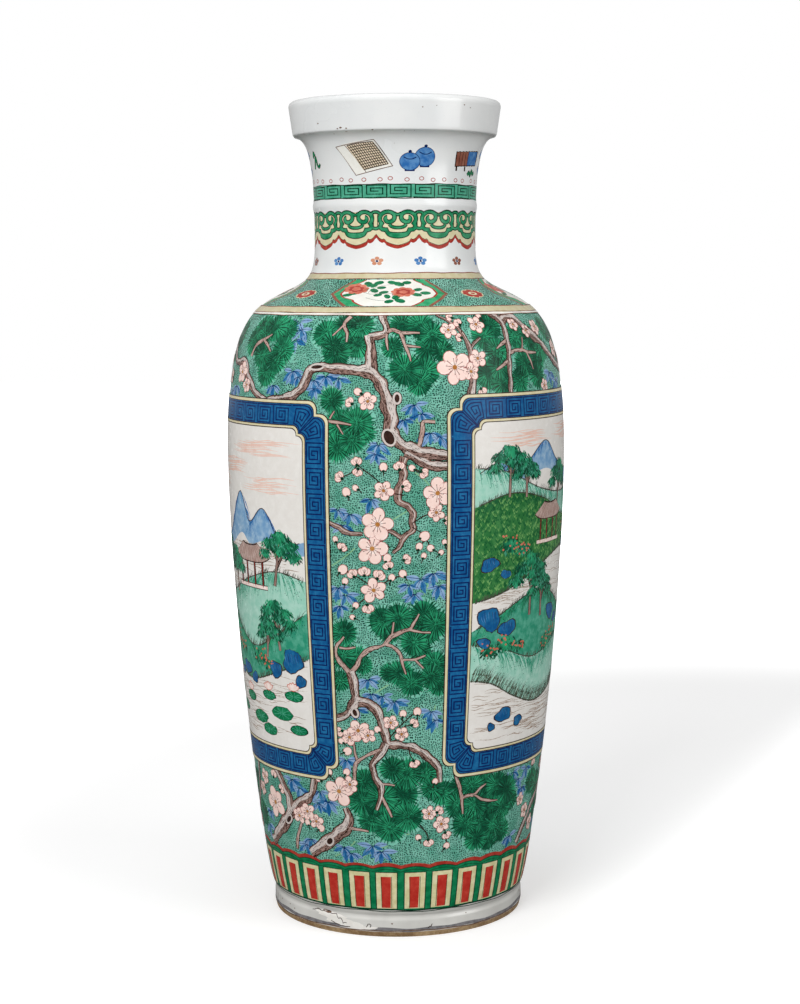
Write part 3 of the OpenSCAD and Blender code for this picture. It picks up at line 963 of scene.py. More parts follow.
# Wear. Chips: angle, height, half width, half height; specks: angle, height, size
CHIPS = [(-34, 10.2, 5.5, 1.8), (-29, 8.4, 6.0, 2.4), (-24, 6.4, 6.5, 2.2), (-19, 5.2, 5.0, 1.6),
         (-13, 4.9, 4.0, 0.9)]
CRACKS = [[(-42, 10.4), (-38.5, 11.4), (-36, 10.8), (-33.5, 11.9)],
          [(-33.5, 11.9), (-31, 10.2), (-28.8, 10.8), (-27.6, 8.2)],
          [(-27.6, 8.2), (-26.2, 8.8), (-25.4, 6.2), (-23.4, 6.6)],
          [(-31.5, 6.4), (-29, 5.4), (-26, 4.6), (-22, 4.4)],
          [(-14.2, 5.2), (-13.6, 7.0), (-12.2, 6.8), (-12.6, 5.0)],
          [(13.2, 4.6), (14.6, 5.8), (15.4, 6.8)]]
STAINS = 22
STAIN_M = (5, 14)
RIM_SPECKS = [(-46, 472.5, 0.6), (-30.5, 469.5, 0.8), (-27, 469, 0.6), (-32.5, 469, 0.55),
              (-12, 467.8, 0.6), (5.5, 465.4, 0.5), (39.5, 481.8, 0.5), (44, 480.5, 0.4),
              (22.5, 480.8, 0.3), (-28, 466.2, 0.9), (11, 466.5, 0.5), (118, 474, 0.6), (143, 469, 0.8),
              (171, 478, 0.4), (196, 470, 0.6), (231, 481, 0.5)]


def foot_wear():
    """A grey line above the bare edge of the foot, and marks of use: a run of chips with dark broken edges on
    one side, small brown stains strewn right round, and specks on the rim."""
    grey, chip, dark, stain = enamels("foot_porcelain", foot_grey_line="foot_band_grey",
                                      foot_chips="chip_white", foot_cracks="brown_black_line",
                                      foot_stains="hatch_brown")
    # grey band just above the foot's bare edge, darker than the glaze round it
    ring_line(grey, 4.4, 1.9, 1, 0.5)
    a, m, wide, tall = np.array(CHIPS, float).T[:, :, None]
    rough = 1 + 0.16 * rng.standard_normal((len(CHIPS), 16)).clip(-1.5, 1.5)
    chip.domes(a[:, 0], m[:, 0], *disc(1.25 * wide * rough, tall * rough, 16), 2,
               rings=(1.0, 0.9, 0.6, 0.3))
    for path in CRACKS:
        crack = steps_between(np.array(path, float), 1.2)
        dark.strokes(crack + rng.uniform(-1, 1, crack.shape) * (0.25, 0.2), 0.4, 3)
    ring_line(stain, 3.4, 0.6, 2, 0.3)
    stain.domes([-34.5, -33.0], [11.6, 11.2], *disc(2.0, 0.9, 12), 3)
    size = rng.uniform(0.25, 0.6, (STAINS, 1))
    stain.domes(rng.uniform(START, START + 360, STAINS), rng.uniform(*STAIN_M, STAINS),
                *disc(size, 0.7 * size, 16), 1)
    speck = Enamel("rim_specks", "hatch_brown", "white_glaze")
    a, m, size = np.array(RIM_SPECKS, float).T
    speck.domes(a, m, *disc(size[:, None], 0.6 * size[:, None], 16), 1)


foot_wear()


# Shoulder panels and neck emblems

CARTOUCHE_M = (354.0, 382.2)
CARTOUCHE_START = -3.4
FLORET_RING_M = 366.5

# Flowers, leaves and stems of a panel, in mm from its middle: each flower with its size, each leaf its turn
PEONIES = [(-18.0, 4.4, 1.3), (8.0, 0.6, 1.2)]
LEAVES = [(-22.6, -2.8, 190), (-18.8, -1.0, 20), (-13.1, 2.8, 60), (-8.2, 8.4, 70), (-4.0, 5.8, 10),
          (-7.8, 2.4, 130), (-2.5, 0.2, 20), (-5.6, -3.0, 200), (-0.4, -4.6, 110), (4.4, -5.2, 60),
          (0.8, -9.9, 200), (6.6, -9.2, -25), (15.8, 3.3, 30), (15.3, -2.6, -20), (20.2, -0.8, 5),
          (1.4, 11.4, 160), (5.2, 9.8, -30), (9.4, 11.2, 10), (-11.4, 9.6, 130), (-5.6, 11.2, 20)]
SPRAYS = [[(-17, 2), (-13, 0), (-9, -2), (-4, -1), (2, -1), (7, 0)],
          [(-12, -6), (-8, -8), (-4, -9), (1, -9.5)], [(-11, 0), (-9, 4), (-6, 7), (-1, 9), (4, 10)],
          [(7, 0), (12, -1), (19, -1.5)], [(2, -1), (3, -5), (5, -9)], [(-17, 2), (-18, -1), (-21, -3)]]
# Half width in degrees at shares of a panel's height
OUTER_HALF = [(0, 18.5), (0.04, 19.5), (0.24, 24.7), (0.38, 27.6), (0.44, 29.4), (0.52, 28.6), (0.76, 27.2),
              (0.96, 23.5), (1, 22.5)]
INNER_HALF = [(0, 9.5), (0.03, 11), (0.14, 14.4), (0.23, 15.4), (0.25, 18), (0.32, 20.9), (0.45, 23.3),
              (0.64, 23), (0.74, 21.4), (0.82, 18.6), (0.86, 18.8), (0.96, 15), (1, 14)]
# Layers of a panel: name, colour, half widths, degrees added to them, layer
CARTOUCHE_LAYERS = [("outlines", "red_brown_line", OUTER_HALF, 0.3, 0.6),
                    ("borders", "border_green", OUTER_HALF, -1.5, 1.2),
                    ("red_lines", "iron_red", INNER_HALF, 1.15, 1.8),
                    ("fields", "cream_white", INNER_HALF, 0.0, 2.4)]
# Rings of petals of a peony: number, distance from its middle, size, whether dark, layer
PEONY_RINGS = [(9, 3.4, 1.75, False, 3.6), (6, 1.9, 1.5, True, 4.1), (5, 0.9, 1.1, False, 4.6)]


def cartouches():
    """Four white panels with bracket-shaped green borders on the shoulder, each with two peonies."""
    middles = every(4, CARTOUCHE_START)
    low, high = CARTOUCHE_M
    m0 = sum(CARTOUCHE_M) / 2
    m = np.linspace(high, low, 30)
    for name, colour, table, grow, layer in CARTOUCHE_LAYERS:
        half = np.interp((m - low) / (high - low), *np.transpose(table))
        edges = [np.stack(np.broadcast_arrays(middles[:, None] + side * (half + grow), m), -1)
                 for side in (1, -1)]
        Enamel(f"cartouche_{name}", colour).ribbons(*edges, layer)
    leaf, vein, bloom, heart = enamels(cartouche_leaves="leaf_green", cartouche_stems="dark_green_line",
                                       peony_petals="coral_red", peony_hearts="iron_red")
    s = np.linspace(-1, 1, 4)
    for a0 in middles:
        for path in SPRAYS:
            p = smooth(path, 1.6)
            vein.strokes(local(a0, m0, p[:, 0], p[:, 1])[None], 0.4, 3)
        for x, y, turn in LEAVES:
            spot = local(a0, m0, x, y)
            size = rng.uniform(0.85, 1.15)
            leaf.domes(*spot, *turned_by(*disc(3.0 * size, 2.0 * size, 10), turn), 3.2)
            vein.strokes(local(*spot, *turned_by(2.6 * size * s, 0 * s, turn))[None], 0.34, 4)
        for x, y, size in PEONIES:
            for count, away, big, dark, layer in PEONY_RINGS:
                turn = np.arange(count) * 2 * np.pi / count + rng.uniform(0, 6)
                spot = local(a0, m0, x + size * away * 1.15 * np.cos(turn), y + size * away * np.sin(turn))
                petals = heart if dark else bloom
                petals.domes(*spot.T, *disc(size * big, size * big * 0.85, 10), layer)


def shoulder_florets():
    """Oval red florets between the panels: a pale edge, eight red petals and a pale eye with a red dot."""
    middles = every(4, CARTOUCHE_START - 46.0)
    m0 = np.full(4, FLORET_RING_M)
    pale, red = enamels(shoulder_floret_edges="pale_yellow", shoulder_floret_petals="iron_red")
    pale.domes(middles, m0, *disc(7.4, 4.8, 24), 1, rings=(1.0, 0.93, 0.7, 0.45, 0.2))
    for turn in np.arange(8) * np.pi / 4:
        spot = local(middles, m0, 4.7 * np.cos(turn), 2.9 * np.sin(turn))
        red.domes(*spot.T, *disc(2.2, 1.7, 10), 2)
    pale.domes(middles, m0, *disc(2.9, 1.9, 14), 3, rings=(1.0, 0.88, 0.5))
    red.domes(middles, m0, *disc(1.5, 1.0, 10), 4)


EMBLEM_TURNS = (0.0, 180.0)
TABLET = [(-40.7, 456.0), (-13.0, 459.6), (-1.4, 445.0), (-27.0, 440.2)]   # corners, clockwise
# Jars: angle, height, half width, half height, layer
JARS = [(20.2, 450.0, 5.7, 5.1, 1), (10.0, 447.4, 5.5, 4.6, 3)]
JAR_RINGS = (1.0, 0.92, 0.68, 0.44, 0.2)
JAR_LID = np.array([(-0.62, 0.52), (-0.2, 0.3), (0.25, 0.3), (0.64, 0.52)])    # shares of the half sizes
JAR_FOOT = (-3.4, -1.7, 0, 1.7, 3.4)
# Outline, brown half and blue half of the box: lower corners, height, layer
BOX_SIDES = [((44.2, 445.0), (71.0, 446.2), 8.6, 1), ((45.0, 445.6), (57.0, 446.2), 7.4, 2),
             ((57.4, 446.2), (70.0, 446.8), 7.4, 2)]
# Upright strokes on the box and under it: angles, heights, width, layer
BOX_STROKES = [((48, 51, 54), (446, 448.5, 451, 453), 0.4, 3), ((46.0, 55.0), (442.9, 444.0, 445.4), 1.3, 1)]
TIES = [[(59, 441), (61, 442.6), (63, 441), (65, 443.4), (67, 441.6), (69, 443)],
        [(-70, 445), (-68, 449), (-66, 451), (-65, 447), (-62.5, 446), (-61, 447.6)],
        [(-70, 451), (-68, 454), (-66.5, 452)]]
SCROLLS = [[(79, 443.5), (99, 455)], [(79, 454.5), (99, 443)]]


def on_tablet(u, v):
    """Point of the slanting tablet: u runs from left to right, v from top to bottom."""
    left_top, right_top, right_low, left_low = (np.array(p) for p in TABLET)
    u, v = (np.asarray(w, float)[..., None] for w in np.broadcast_arrays(u, v))
    top = left_top + (right_top - left_top) * u
    low = left_low + (right_low - left_low) * u
    arch = np.concatenate([0 * u, 0.9 * np.sin(np.pi * u) * (1 - v)], -1)
    return top + (low - top) * v + arch


def neck_emblems():
    """Scholar's things between the fret and the rim, twice round: a ruled tablet, two covered blue jars, a
    brown and blue box with green ties, and two crossed scrolls."""
    cream, tan, lines, blue, navy, brown, green, dark = enamels(
        "white_glaze", emblem_cream="cream_white", emblem_tan="tablet_tan", emblem_lines="hatch_brown",
        emblem_blue="jar_blue", emblem_navy="navy_line", emblem_brown="red_brown_line",
        emblem_green="leaf_green", emblem_dark="brown_black_line")
    u = np.linspace(0, 1, 15)
    for start in EMBLEM_TURNS:
        shift = (start, 0)
        cream.ribbons((on_tablet(u, 0) + shift)[None], (on_tablet(u, 1) + shift)[None], 1)
        ruled = 0.27 + 0.68 * u
        tan.ribbons((on_tablet(ruled, 0.06) + shift)[None], (on_tablet(ruled, 0.92) + shift)[None], 1.7)
        edge = steps_between(np.array(TABLET + TABLET[:1]), 2.0)
        lines.strokes(edge + shift, 0.42, 2)
        for across in np.linspace(0.30, 0.93, 12):
            dark.strokes(on_tablet(across, np.linspace(0.08, 0.9, 8)) + shift, 0.44, 2.6)
        for down in np.linspace(0.08, 0.9, 11):
            dark.strokes(on_tablet(np.linspace(0.28, 0.93, 10), down) + shift, 0.5, 2.6)
        lines.strokes(on_tablet(np.linspace(0.24, 0.3, 8), np.linspace(0.02, 0.98, 8)) + shift, 0.4, 2)
        for a, m, wide, tall, layer in JARS:
            spot = np.array([a + start]), np.array([m])
            navy.domes(*spot, *disc(wide + 0.35, tall + 0.35, 24), layer, rings=JAR_RINGS)
            blue.domes(*spot, *disc(wide, tall, 24), layer + 0.9, rings=JAR_RINGS)
            lid = smooth(JAR_LID * (wide, tall), 1.0)
            navy.strokes(local(a + start, m, *lid.T)[None], 0.6, layer + 1.9)
            navy.domes(spot[0], spot[1] + tall + 0.7, *disc(1.0, 0.95, 10), layer)
            navy.strokes(np.array([(a + start + d, m - tall - 0.1) for d in JAR_FOOT]), 1.0, layer)
        steps = np.linspace(0, 1, 9)[:, None]
        for piece, (low, high, tall, layer) in zip((dark, brown, blue), BOX_SIDES):
            base = np.array(low) + (np.array(high) - low) * steps + shift
            piece.ribbons((base + (0, tall))[None], base[None], layer)
        for angles, heights, width, layer in BOX_STROKES:
            for a in angles:
                dark.strokes(np.array([(a + start, m) for m in heights]), width, layer)
        for tie in TIES:
            dark.strokes(smooth(tie, 1.0) + shift, 2.0, 1)
            green.strokes(smooth(tie, 1.0) + shift, 1.4, 2)
        for path in SCROLLS:
            first, last = np.array(path)
            roll = first + (last - first) * np.linspace(0, 1, 11)[:, None] + shift
            dark.strokes(roll, 4.6, 1)
            cream.strokes(roll, 3.8, 2)
            for end in (roll[:3], roll[-3:]):
                blue.strokes(end, 3.8, 2.6)
            lines.strokes(roll[3:-3], 0.4, 3, shift=0.9)


cartouches()
shoulder_florets()
neck_emblems()


# Pine, prunus and bamboo on the body; each list gives angle, height and size for the front half

L_BAMBOO, L_PINE, L_BRANCH, L_BLOSSOM, L_PANEL = 1, 2, 6.8, 9.8, 12.8

PINE_LOBES = [
    (-61, 331, 9), (-58, 339, 8), (-49, 340, 9), (-43, 337, 8), (-42.5, 326, 8.5), (-53, 323, 8),
    (-49, 314, 8.5), (-45, 320, 8), (-54, 334, 6), (-25, 336, 8.5), (-18, 342, 7), (-20.5, 325, 8.5),
    (-13, 330, 8.5), (-12.5, 341, 7.5), (-22, 330, 7), (2.5, 343, 7.5), (9, 341, 8), (13, 335, 7.5),
    (11, 328, 7.5), (16, 326, 6.5), (3, 316, 9), (9.5, 315, 8.5), (7.5, 309, 7), (-1, 328, 6),
    (36, 340, 9), (32.5, 333, 8), (37, 325, 8), (32, 313, 9), (38, 308, 8), (37, 317, 7.5), (47.5, 333, 8),
    (56, 332, 8.5), (62, 326, 8), (49.5, 318, 8.5), (57.5, 320, 8), (56, 311, 7.5), (46, 309, 7.5),
    (-21, 300, 7), (-12.5, 288, 9), (-18, 287, 9), (-19, 275, 8), (-14, 279, 7.5), (-10, 283, 6),
    (-4.5, 182, 8.5), (0.5, 184, 8), (-2.5, 177, 7), (9, 185, 8.5), (13, 180, 8), (10.5, 175, 6.5),
    (6.5, 179.5, 6.5), (5.5, 170.5, 7.5), (8, 165.5, 6.5), (13, 158, 7.5), (11.5, 151, 6.5),
    (14.5, 147, 7), (1, 153.5, 7.5), (5, 148, 7.5), (-2.5, 154, 5.5), (-18, 175, 7.5), (-19, 162, 7),
    (-14, 161, 7.5), (-11.5, 157.5, 5), (-20, 148.5, 6), (-12, 92, 7.5), (-13.5, 81, 9), (-6, 83, 9),
    (2, 85, 9), (3.5, 97, 9), (-2, 100, 7), (-10, 70, 8), (-3, 66, 9), (4, 72, 8.5), (-3, 76, 8),
    (10.5, 97, 7), (13, 88, 6.5), (17, 85, 7.5), (24, 88, 6.5), (29, 87, 8), (35, 86, 8), (41, 85, 8.5),
    (47, 81, 8.5), (50, 74, 6.5), (23.5, 77, 8), (31, 76, 9), (38, 74, 9), (45, 71, 8), (27, 66, 8),
    (34, 64, 9), (41, 62, 8.5), (32.5, 56, 7.5), (39, 54.5, 7.5), (46, 57, 7), (-77, 334, 8.5),
    (-84, 338, 8), (-88, 329, 8.5), (-81, 325, 7.5), (72, 337, 8.5), (79, 331, 8.5), (84, 339, 8),
    (86, 326, 7.5), (-72, 60, 8), (-79, 66, 8.5), (-86, 60, 8.5), (-83, 75, 7.5), (-76, 78, 7),
    (66, 80, 8), (73, 76, 8.5), (80, 68, 8.5), (76, 62, 7.5), (86, 75, 8),
]

# Each limb: places with angle, height and width
LIMBS = [
    [(-92, 334, 2), (-86, 331, 2.6), (-80, 325, 3), (-75, 319, 3.6), (-70, 318, 4), (-66, 319, 4),
     (-63, 317.5, 4.2), (-60.5, 311, 4.2), (-57, 306, 4), (-52, 301, 3.5), (-47, 297, 3)],
    [(-47, 298.5, 2.5), (-40, 300.5, 3.2), (-35.5, 302, 4), (-32.5, 306, 5), (-30.8, 311, 5),
     (-29.3, 315.5, 5), (-25, 317, 4.6), (-18, 316.5, 4.2), (-12, 316, 5), (-8.5, 315, 6), (-6, 311, 6.4),
     (-4, 305, 6.4), (-2.6, 298, 6.4), (-1.6, 291, 6.4), (-2, 284, 7), (0.5, 278.5, 6), (4.5, 274.5, 5.4),
     (9, 272, 5.4), (13, 271, 5.4), (18.5, 270.5, 5.4)],
    [(-8.5, 315, 6), (-8.3, 322, 5.4), (-8.7, 329, 5), (-9.3, 335, 4.4)],
    [(-9, 334, 3.6), (-6, 334.5, 4.4), (-3.5, 336.5, 4), (-4, 342, 3.6), (-5.5, 349, 3.6)],
    [(3, 272.5, 3), (8, 267.5, 4), (13, 265.5, 4), (18.5, 265, 4)],
    [(-16.2, 153.5, 4.2), (-15.2, 146, 4.6), (-14.8, 138, 5), (-17.5, 131, 4.6), (-20, 128.5, 4),
     (-24, 127, 4)],
    [(-14.8, 138, 4.6), (-10.5, 136.5, 4.6), (-7.5, 133, 4.6), (-5.5, 126, 4.6), (-4, 118, 4.6),
     (-3, 114, 4.6), (1, 113, 4), (5, 111.5, 4), (9, 109, 3.8), (12.5, 104.5, 3.5), (15, 99, 3),
     (15.7, 91, 1.6)],
    [(-4, 114, 4), (-6, 109, 3.6), (-9.2, 102, 3.6), (-8.2, 96, 3.4), (-6.3, 90, 3), (-6.2, 84, 2.6),
     (-8, 76, 1.2)],
    [(-38, 47, 5), (-33, 51, 6), (-28, 56, 6.4), (-23.5, 60.5, 6), (-20.5, 65, 5), (-19, 70, 4),
     (-20, 76, 2.2)],
    [(-64, 46, 6.4), (-58, 53, 6.4), (-53, 58.5, 6.4), (-49, 64, 6.4), (-46.5, 70, 6), (-47, 77, 5),
     (-50, 84, 4.6), (-54, 92, 4)],
    [(-48, 65, 4.6), (-44.5, 71.5, 5.4), (-40.5, 76, 5), (-36.5, 79.5, 4.6), (-34, 85, 4), (-32.5, 93, 4)],
    [(38.5, 348, 3.6), (41.5, 344.5, 4), (43, 339, 4), (42.8, 332, 3.6), (42.3, 325, 3.6),
     (41.5, 317, 3.2), (41, 308, 2.6), (41, 301, 2)],
    [(42.8, 343, 4), (47, 345, 4.4), (51.5, 343.5, 4.4), (55, 338, 4.4), (59, 333.5, 4.4), (64, 328, 4.4),
     (70, 321, 4), (76, 316, 3.6), (84, 312, 3)], [(25.5, 316, 3), (26, 309, 3.6), (25, 301, 4)],
    [(58, 46, 3.6), (64, 56, 4), (70, 65, 4), (77, 71, 3.6), (84, 80, 3), (86, 92, 2.4)],
    [(-90, 47, 3), (-84, 57, 3.6), (-78, 66, 3.2), (-73, 75, 2.6), (-70, 92, 2)],
]
TWIGS = [
    [(-3.5, 336.5, 3), (-1, 338, 2.4), (2, 336, 2.2), (5, 336, 1.8), (8.5, 336, 0.8)],
    [(2, 336, 2.2), (3, 330, 2), (4.5, 324, 1.5), (5, 320.5, 0.7)],
    [(3.5, 329, 1.6), (6, 328.5, 1.3), (8.5, 328, 0.7)],
    [(-3, 337, 2), (-3.2, 332, 1.6), (-2.5, 326.5, 0.8)],
    [(-17, 346, 2.2), (-18.8, 341, 2), (-17.2, 336, 1.6), (-17, 331, 0.8)],
    [(-18.8, 341, 1.6), (-20.5, 338, 1.4), (-22.5, 334.5, 0.8)],
    [(-60, 322, 2.4), (-58.5, 328, 2.4), (-54, 331.5, 2.2), (-50, 335, 1)],
    [(-54, 331.5, 1.8), (-51, 328.5, 1.5), (-48.5, 325, 0.8)],
    [(7, 276, 2.6), (8.3, 283, 2.6), (9, 288.5, 2.6), (12.5, 288.5, 1.8)],
    [(-22.5, 289, 2), (-18, 288, 1.7), (-14.3, 287, 0.9)], [(-21.5, 290, 1.3), (-20, 294, 0.8)],
    [(-19, 287, 1.3), (-17, 282, 0.8)],
    [(-18, 173, 1.2), (-20.6, 168, 2), (-21, 163, 2.5), (-19, 157, 3.2), (-16.2, 153.3, 4),
     (-14, 157, 3.2), (-12, 163, 3), (-9, 167, 3), (-4, 169.5, 3), (-1.5, 174, 2.6), (2, 176.5, 2.4),
     (4.5, 178, 2), (6, 182, 1.6), (7.4, 186, 0.8)],
    [(-19.8, 167, 1.6), (-17, 166.5, 1.4), (-14, 167.5, 0.8)],
    [(4, 177.5, 1.7), (8, 176, 1.4), (11.3, 175.5, 0.8)], [(-1.8, 173.5, 1.8), (-1, 181.5, 0.9)],
    [(-4, 169.5, 2.2), (-1, 167.5, 2.1), (1, 164, 2), (2, 158, 1.6), (3, 153, 1)],
    [(1.6, 161, 1.6), (6, 161, 1.4), (9.6, 163, 0.8)], [(6, 161, 1.3), (9, 156, 0.8)],
    [(-6.2, 84.5, 2), (-4, 78, 1.8), (-2.2, 72, 0.9)], [(-6.3, 91, 2), (-4, 91, 1.7), (-1, 90.3, 0.9)],
    [(-5.5, 111, 2.4), (-10, 108, 2.3), (-14.6, 103.5, 2.4), (-16, 97, 2), (-16, 90, 1.2)],
    [(-16, 115, 1.2), (-15.5, 108, 1.8), (-14.7, 103, 2)],
    [(-20.5, 65, 3), (-16, 64, 2.6), (-11.5, 63.5, 1.2)],
    [(-45.5, 47, 2.2), (-44.8, 53, 2.2), (-42.5, 60, 2), (-40, 66, 1.2)],
    [(22.3, 94, 2.6), (24, 86, 2.6), (25, 80, 2.2), (25.8, 71.5, 0.9)],
    [(24.8, 81, 2.1), (28, 82, 2), (30.5, 82, 1.8), (33, 85, 1.4), (35.5, 87, 0.7)],
    [(30.5, 81.5, 1.7), (34, 78.5, 1.6), (38, 76.5, 1.4), (42, 76, 0.7)],
    [(41.6, 320, 2.4), (38.5, 317.5, 2.2), (35.5, 315, 1)],
    [(42.6, 331.5, 2), (40, 329.5, 1.8), (37, 326.5, 0.9)],
    [(42.2, 324, 2.6), (46, 325, 2.4), (49.5, 325.3, 2.2), (53, 324, 1.8), (57.5, 323.5, 0.8)],
    [(49.3, 325.5, 1.6), (50.3, 329, 1.4), (51.2, 332.5, 0.7)],
    [(51.5, 324, 1.8), (53, 319, 1.4), (54, 314.5, 0.7)],
]
PRUNUS_TWIGS = [
    [(2.6, 270, 4.2), (2.2, 264, 4.4), (1.6, 258, 3.8), (0.6, 252.5, 3.6), (0.8, 247, 3.6),
     (4.0, 244.5, 3.8), (5.2, 240, 3.6), (5.0, 236, 3.2), (5.8, 232, 3.2), (3.4, 229, 3.0),
     (1.8, 226.5, 2.4), (1.2, 223, 2.0), (-1, 219, 1.3)],
    [(1.6, 227.5, 2.2), (-1.5, 230.5, 2.0), (-4, 231, 1.2)],
    [(-22.5, 235.8, 2.2), (-19, 232.6, 2.4), (-16, 229.6, 2.6), (-11, 229.4, 1.8)],
    [(15.5, 347, 1.3), (20, 342.5, 1.6), (23, 338, 1.8), (25, 332, 2.4), (26, 325, 2.8), (25.6, 318, 3)],
    [(30.8, 332.5, 1.2), (28, 330, 1.6), (26, 327, 1.8)],
]
STALKS = [
    [(-21.5, 211.5), (-17, 216.5), (-13.5, 221.5)], [(-2, 236), (0.5, 238.6), (3.4, 241.5)],
    [(0, 60), (2, 61.5), (4.6, 62)], [(-16, 279), (-13, 270), (-12, 262)],
    [(6, 262), (9, 258), (11.5, 253)], [(-40, 330), (-38, 338), (-37, 345)],
    [(-20, 188), (-18.5, 194), (-18, 201)], [(9, 196), (10.5, 202), (13, 209)],
    [(-11, 138), (-7, 143), (-3, 147)], [(13.5, 120), (12.6, 127), (13.5, 135)],
    [(-33, 74), (-29, 79), (-27, 86)], [(-26, 47), (-21, 51), (-17, 57)], [(-14, 48), (-9, 53), (-4, 55)],
    [(52, 92), (55, 86), (58, 78)], [(3, 297), (6, 291), (9, 284)],
]
STEMS = [
    [(-13, 267), (-10, 263), (-6, 258), (-4, 253)], [(1, 268), (5, 264.5), (8.5, 262)],
    [(5, 235), (9, 239), (12.5, 241), (13, 249)], [(-2, 222), (-5, 226), (-6, 233)],
    [(-7.5, 199), (-10, 195), (-13.5, 190.5)], [(-7, 200), (-3, 204), (2, 207.5)],
    [(5, 233), (9, 228), (7.5, 222)], [(9, 228), (11, 222)], [(-18, 209.5), (-14, 207), (-8, 201)],
    [(-3, 117), (1, 124), (5, 130), (7, 132)], [(1, 122), (3, 124), (5.5, 124.5)],
    [(12, 58), (11.3, 62), (8.5, 67)], [(12, 74), (15, 71), (17, 67), (19, 61), (19.5, 54)],
    [(-22, 86), (-24.5, 92), (-27, 96)], [(6, 104), (4.5, 108), (4, 112)],
    [(19.5, 318), (23, 317), (26, 314)], [(23.5, 341), (24, 336)], [(19, 338), (21, 341.5)],
    [(-18, 259), (-14, 262), (-12.5, 266)], [(2.5, 250), (-1, 251), (-4, 252)],
]

# Blossoms: angle, height, radius
BLOSSOMS = [
    (-6, 234.5, 9.2), (-7.8, 221.5, 9.0), (13.2, 250.8, 8.8), (-22.5, 85.5, 8.6), (19.8, 317, 9.6),
    (-57, 71, 9.5), (-7.5, 199, 7.2), (-14, 121, 6.6), (-65, 313, 6.4), (-86, 318, 6), (76, 325, 6),
    (-4, 252.5, 5.6), (-9, 299.5, 5.2), (12.8, 240.5, 5), (-18, 90, 5), (-37.5, 71, 5.4), (-33.5, 66, 4.8),
    (-42, 67.5, 4.8), (25.5, 314.5, 5.2), (28.5, 321.5, 5.4), (19, 337.5, 5), (30.5, 340.5, 5.2),
    (17, 67, 5), (-17.3, 117, 5), (63, 338, 5), (-64, 84, 5), (62, 64, 4.8), (70, 54, 5), (84, 62, 4.8),
    (-80, 53, 4.8), (-10.5, 118.5, 4.6), (-2.3, 126, 4.4), (1.5, 119.5, 4.2), (12, 73.5, 4.4),
    (-60.5, 306, 4.6), (-78, 310, 4.4), (83, 319, 4.4), (-68, 76, 4.4), (79, 87, 4.2), (48.5, 340, 4),
    (55, 336, 4), (60, 305, 4.2), (57, 72, 4),
]
# Blossoms seen from the side: angle, height, size, heading of the opening
SIDE_BLOSSOMS = [
    (1, 264.5, 4.4, 100), (-18, 221, 4.2, 60), (2.8, 215.5, 4.0, 20), (-2.5, 211.5, 4.2, 110),
    (6, 103.5, 4.2, -70), (19, 61, 4, -60), (23.5, 341, 4, 130), (21, 345, 3.6, 160), (-20.5, 120, 4, 200),
    (5.5, 125, 4, 40), (-56, 87, 4.4, 80), (-12.5, 266.8, 4.4, 100), (-14.5, 298.5, 4, 150),
    (-14.2, 206.8, 4.4, 120), (-10.5, 207.8, 5, 90), (-6, 206.2, 5, 60), (-9.6, 190, 4.8, -80),
    (2.6, 254.8, 4.6, 10), (-52, 80, 4, 30), (66, 90, 4, 90), (8.3, 262, 4.2, -30), (-17.8, 259, 4.4, 150),
    (29, 304.5, 4.2, -60), (-12.2, 263, 4.0, -100), (12, 57.5, 4.2, -80), (15.5, 74.5, 4, 40),
    (-30, 91, 4.2, 120), (23, 333, 3.4, 170), (16, 236, 3.6, 0),
]
BUDS = [
    (-12.3, 304.5, 2.2), (-16, 251.5, 2.6), (-13, 253.8, 1.8), (-4, 265, 2.4), (5, 264.4, 1.9),
    (9, 228, 3.0), (7.3, 222.5, 2.1), (11, 221.5, 2.1), (8.8, 217.5, 1.7), (14.5, 219, 1.6),
    (15.6, 224.5, 1.6), (-17.7, 209.8, 2.9), (2, 208, 2.3), (-1.6, 206, 2.0), (-17, 203.5, 2.0),
    (-13.6, 190.5, 1.9), (-18.3, 109, 2.6), (-20.5, 114.5, 1.8), (-7, 122, 2), (2, 131, 2.1),
    (7, 132, 2.4), (19.5, 54, 2), (-19, 97, 2.2), (-3, 216.5, 2.4), (-31.5, 62.5, 2.4), (-38, 64.5, 2),
    (-20, 226, 1.7), (-14.8, 184, 1.6), (14, 92, 1.8), (8, 60, 1.8), (-26, 96, 2), (33, 346, 1.8),
]
BAMBOO = [
    (-38.5, 343, 5.2), (-36, 338, 5.4), (-37.5, 332, 5), (-44.5, 307, 5.2), (-36.5, 315, 5.4),
    (-34, 312, 4.6), (-28, 310.5, 5), (-23.5, 312.5, 5), (-19, 311.5, 4.4), (-27.5, 306, 4.6),
    (6, 298, 5.4), (2.5, 290, 5), (8, 293, 4.6), (11, 283, 5.2), (14, 281, 4.8), (-5.5, 277, 5.2),
    (-6.5, 272, 4.4), (-15, 240, 5.4), (-17.5, 234, 5), (-19, 242, 4.6), (-8, 248, 5), (-17, 196, 5),
    (-19.5, 200, 5.2), (-19, 190, 4.6), (4, 202, 5), (8, 205, 5), (12, 208, 5.6), (14, 201, 5),
    (6, 197, 4.6), (-19, 104, 5), (-10, 150, 5.4), (-5, 141, 5.2), (-9, 142, 5), (-1, 138, 4.8),
    (12, 132, 5.4), (13.5, 127, 4.8), (-14, 133, 4.6), (-31, 84, 5.2), (-27.5, 79, 5.4), (-32, 77, 4.6),
    (-22, 53, 5.2), (-19, 50, 4.8), (-10, 55, 5.2), (-6.5, 52, 5), (-37, 55, 5.2), (-40, 51, 4.8),
    (-44.5, 88, 5.2), (-41, 84, 4.8), (50, 90, 5.2), (54, 85, 5.4), (58, 79, 5), (-70, 305, 5.4),
    (-75, 302, 5), (66, 312, 5.2), (72, 307, 5), (-88, 312, 5), (-63, 64, 5), (-67, 55, 5.2),
    (60, 90, 4.8), (52, 52, 5), (78, 55, 5), (-92, 84, 5),
]
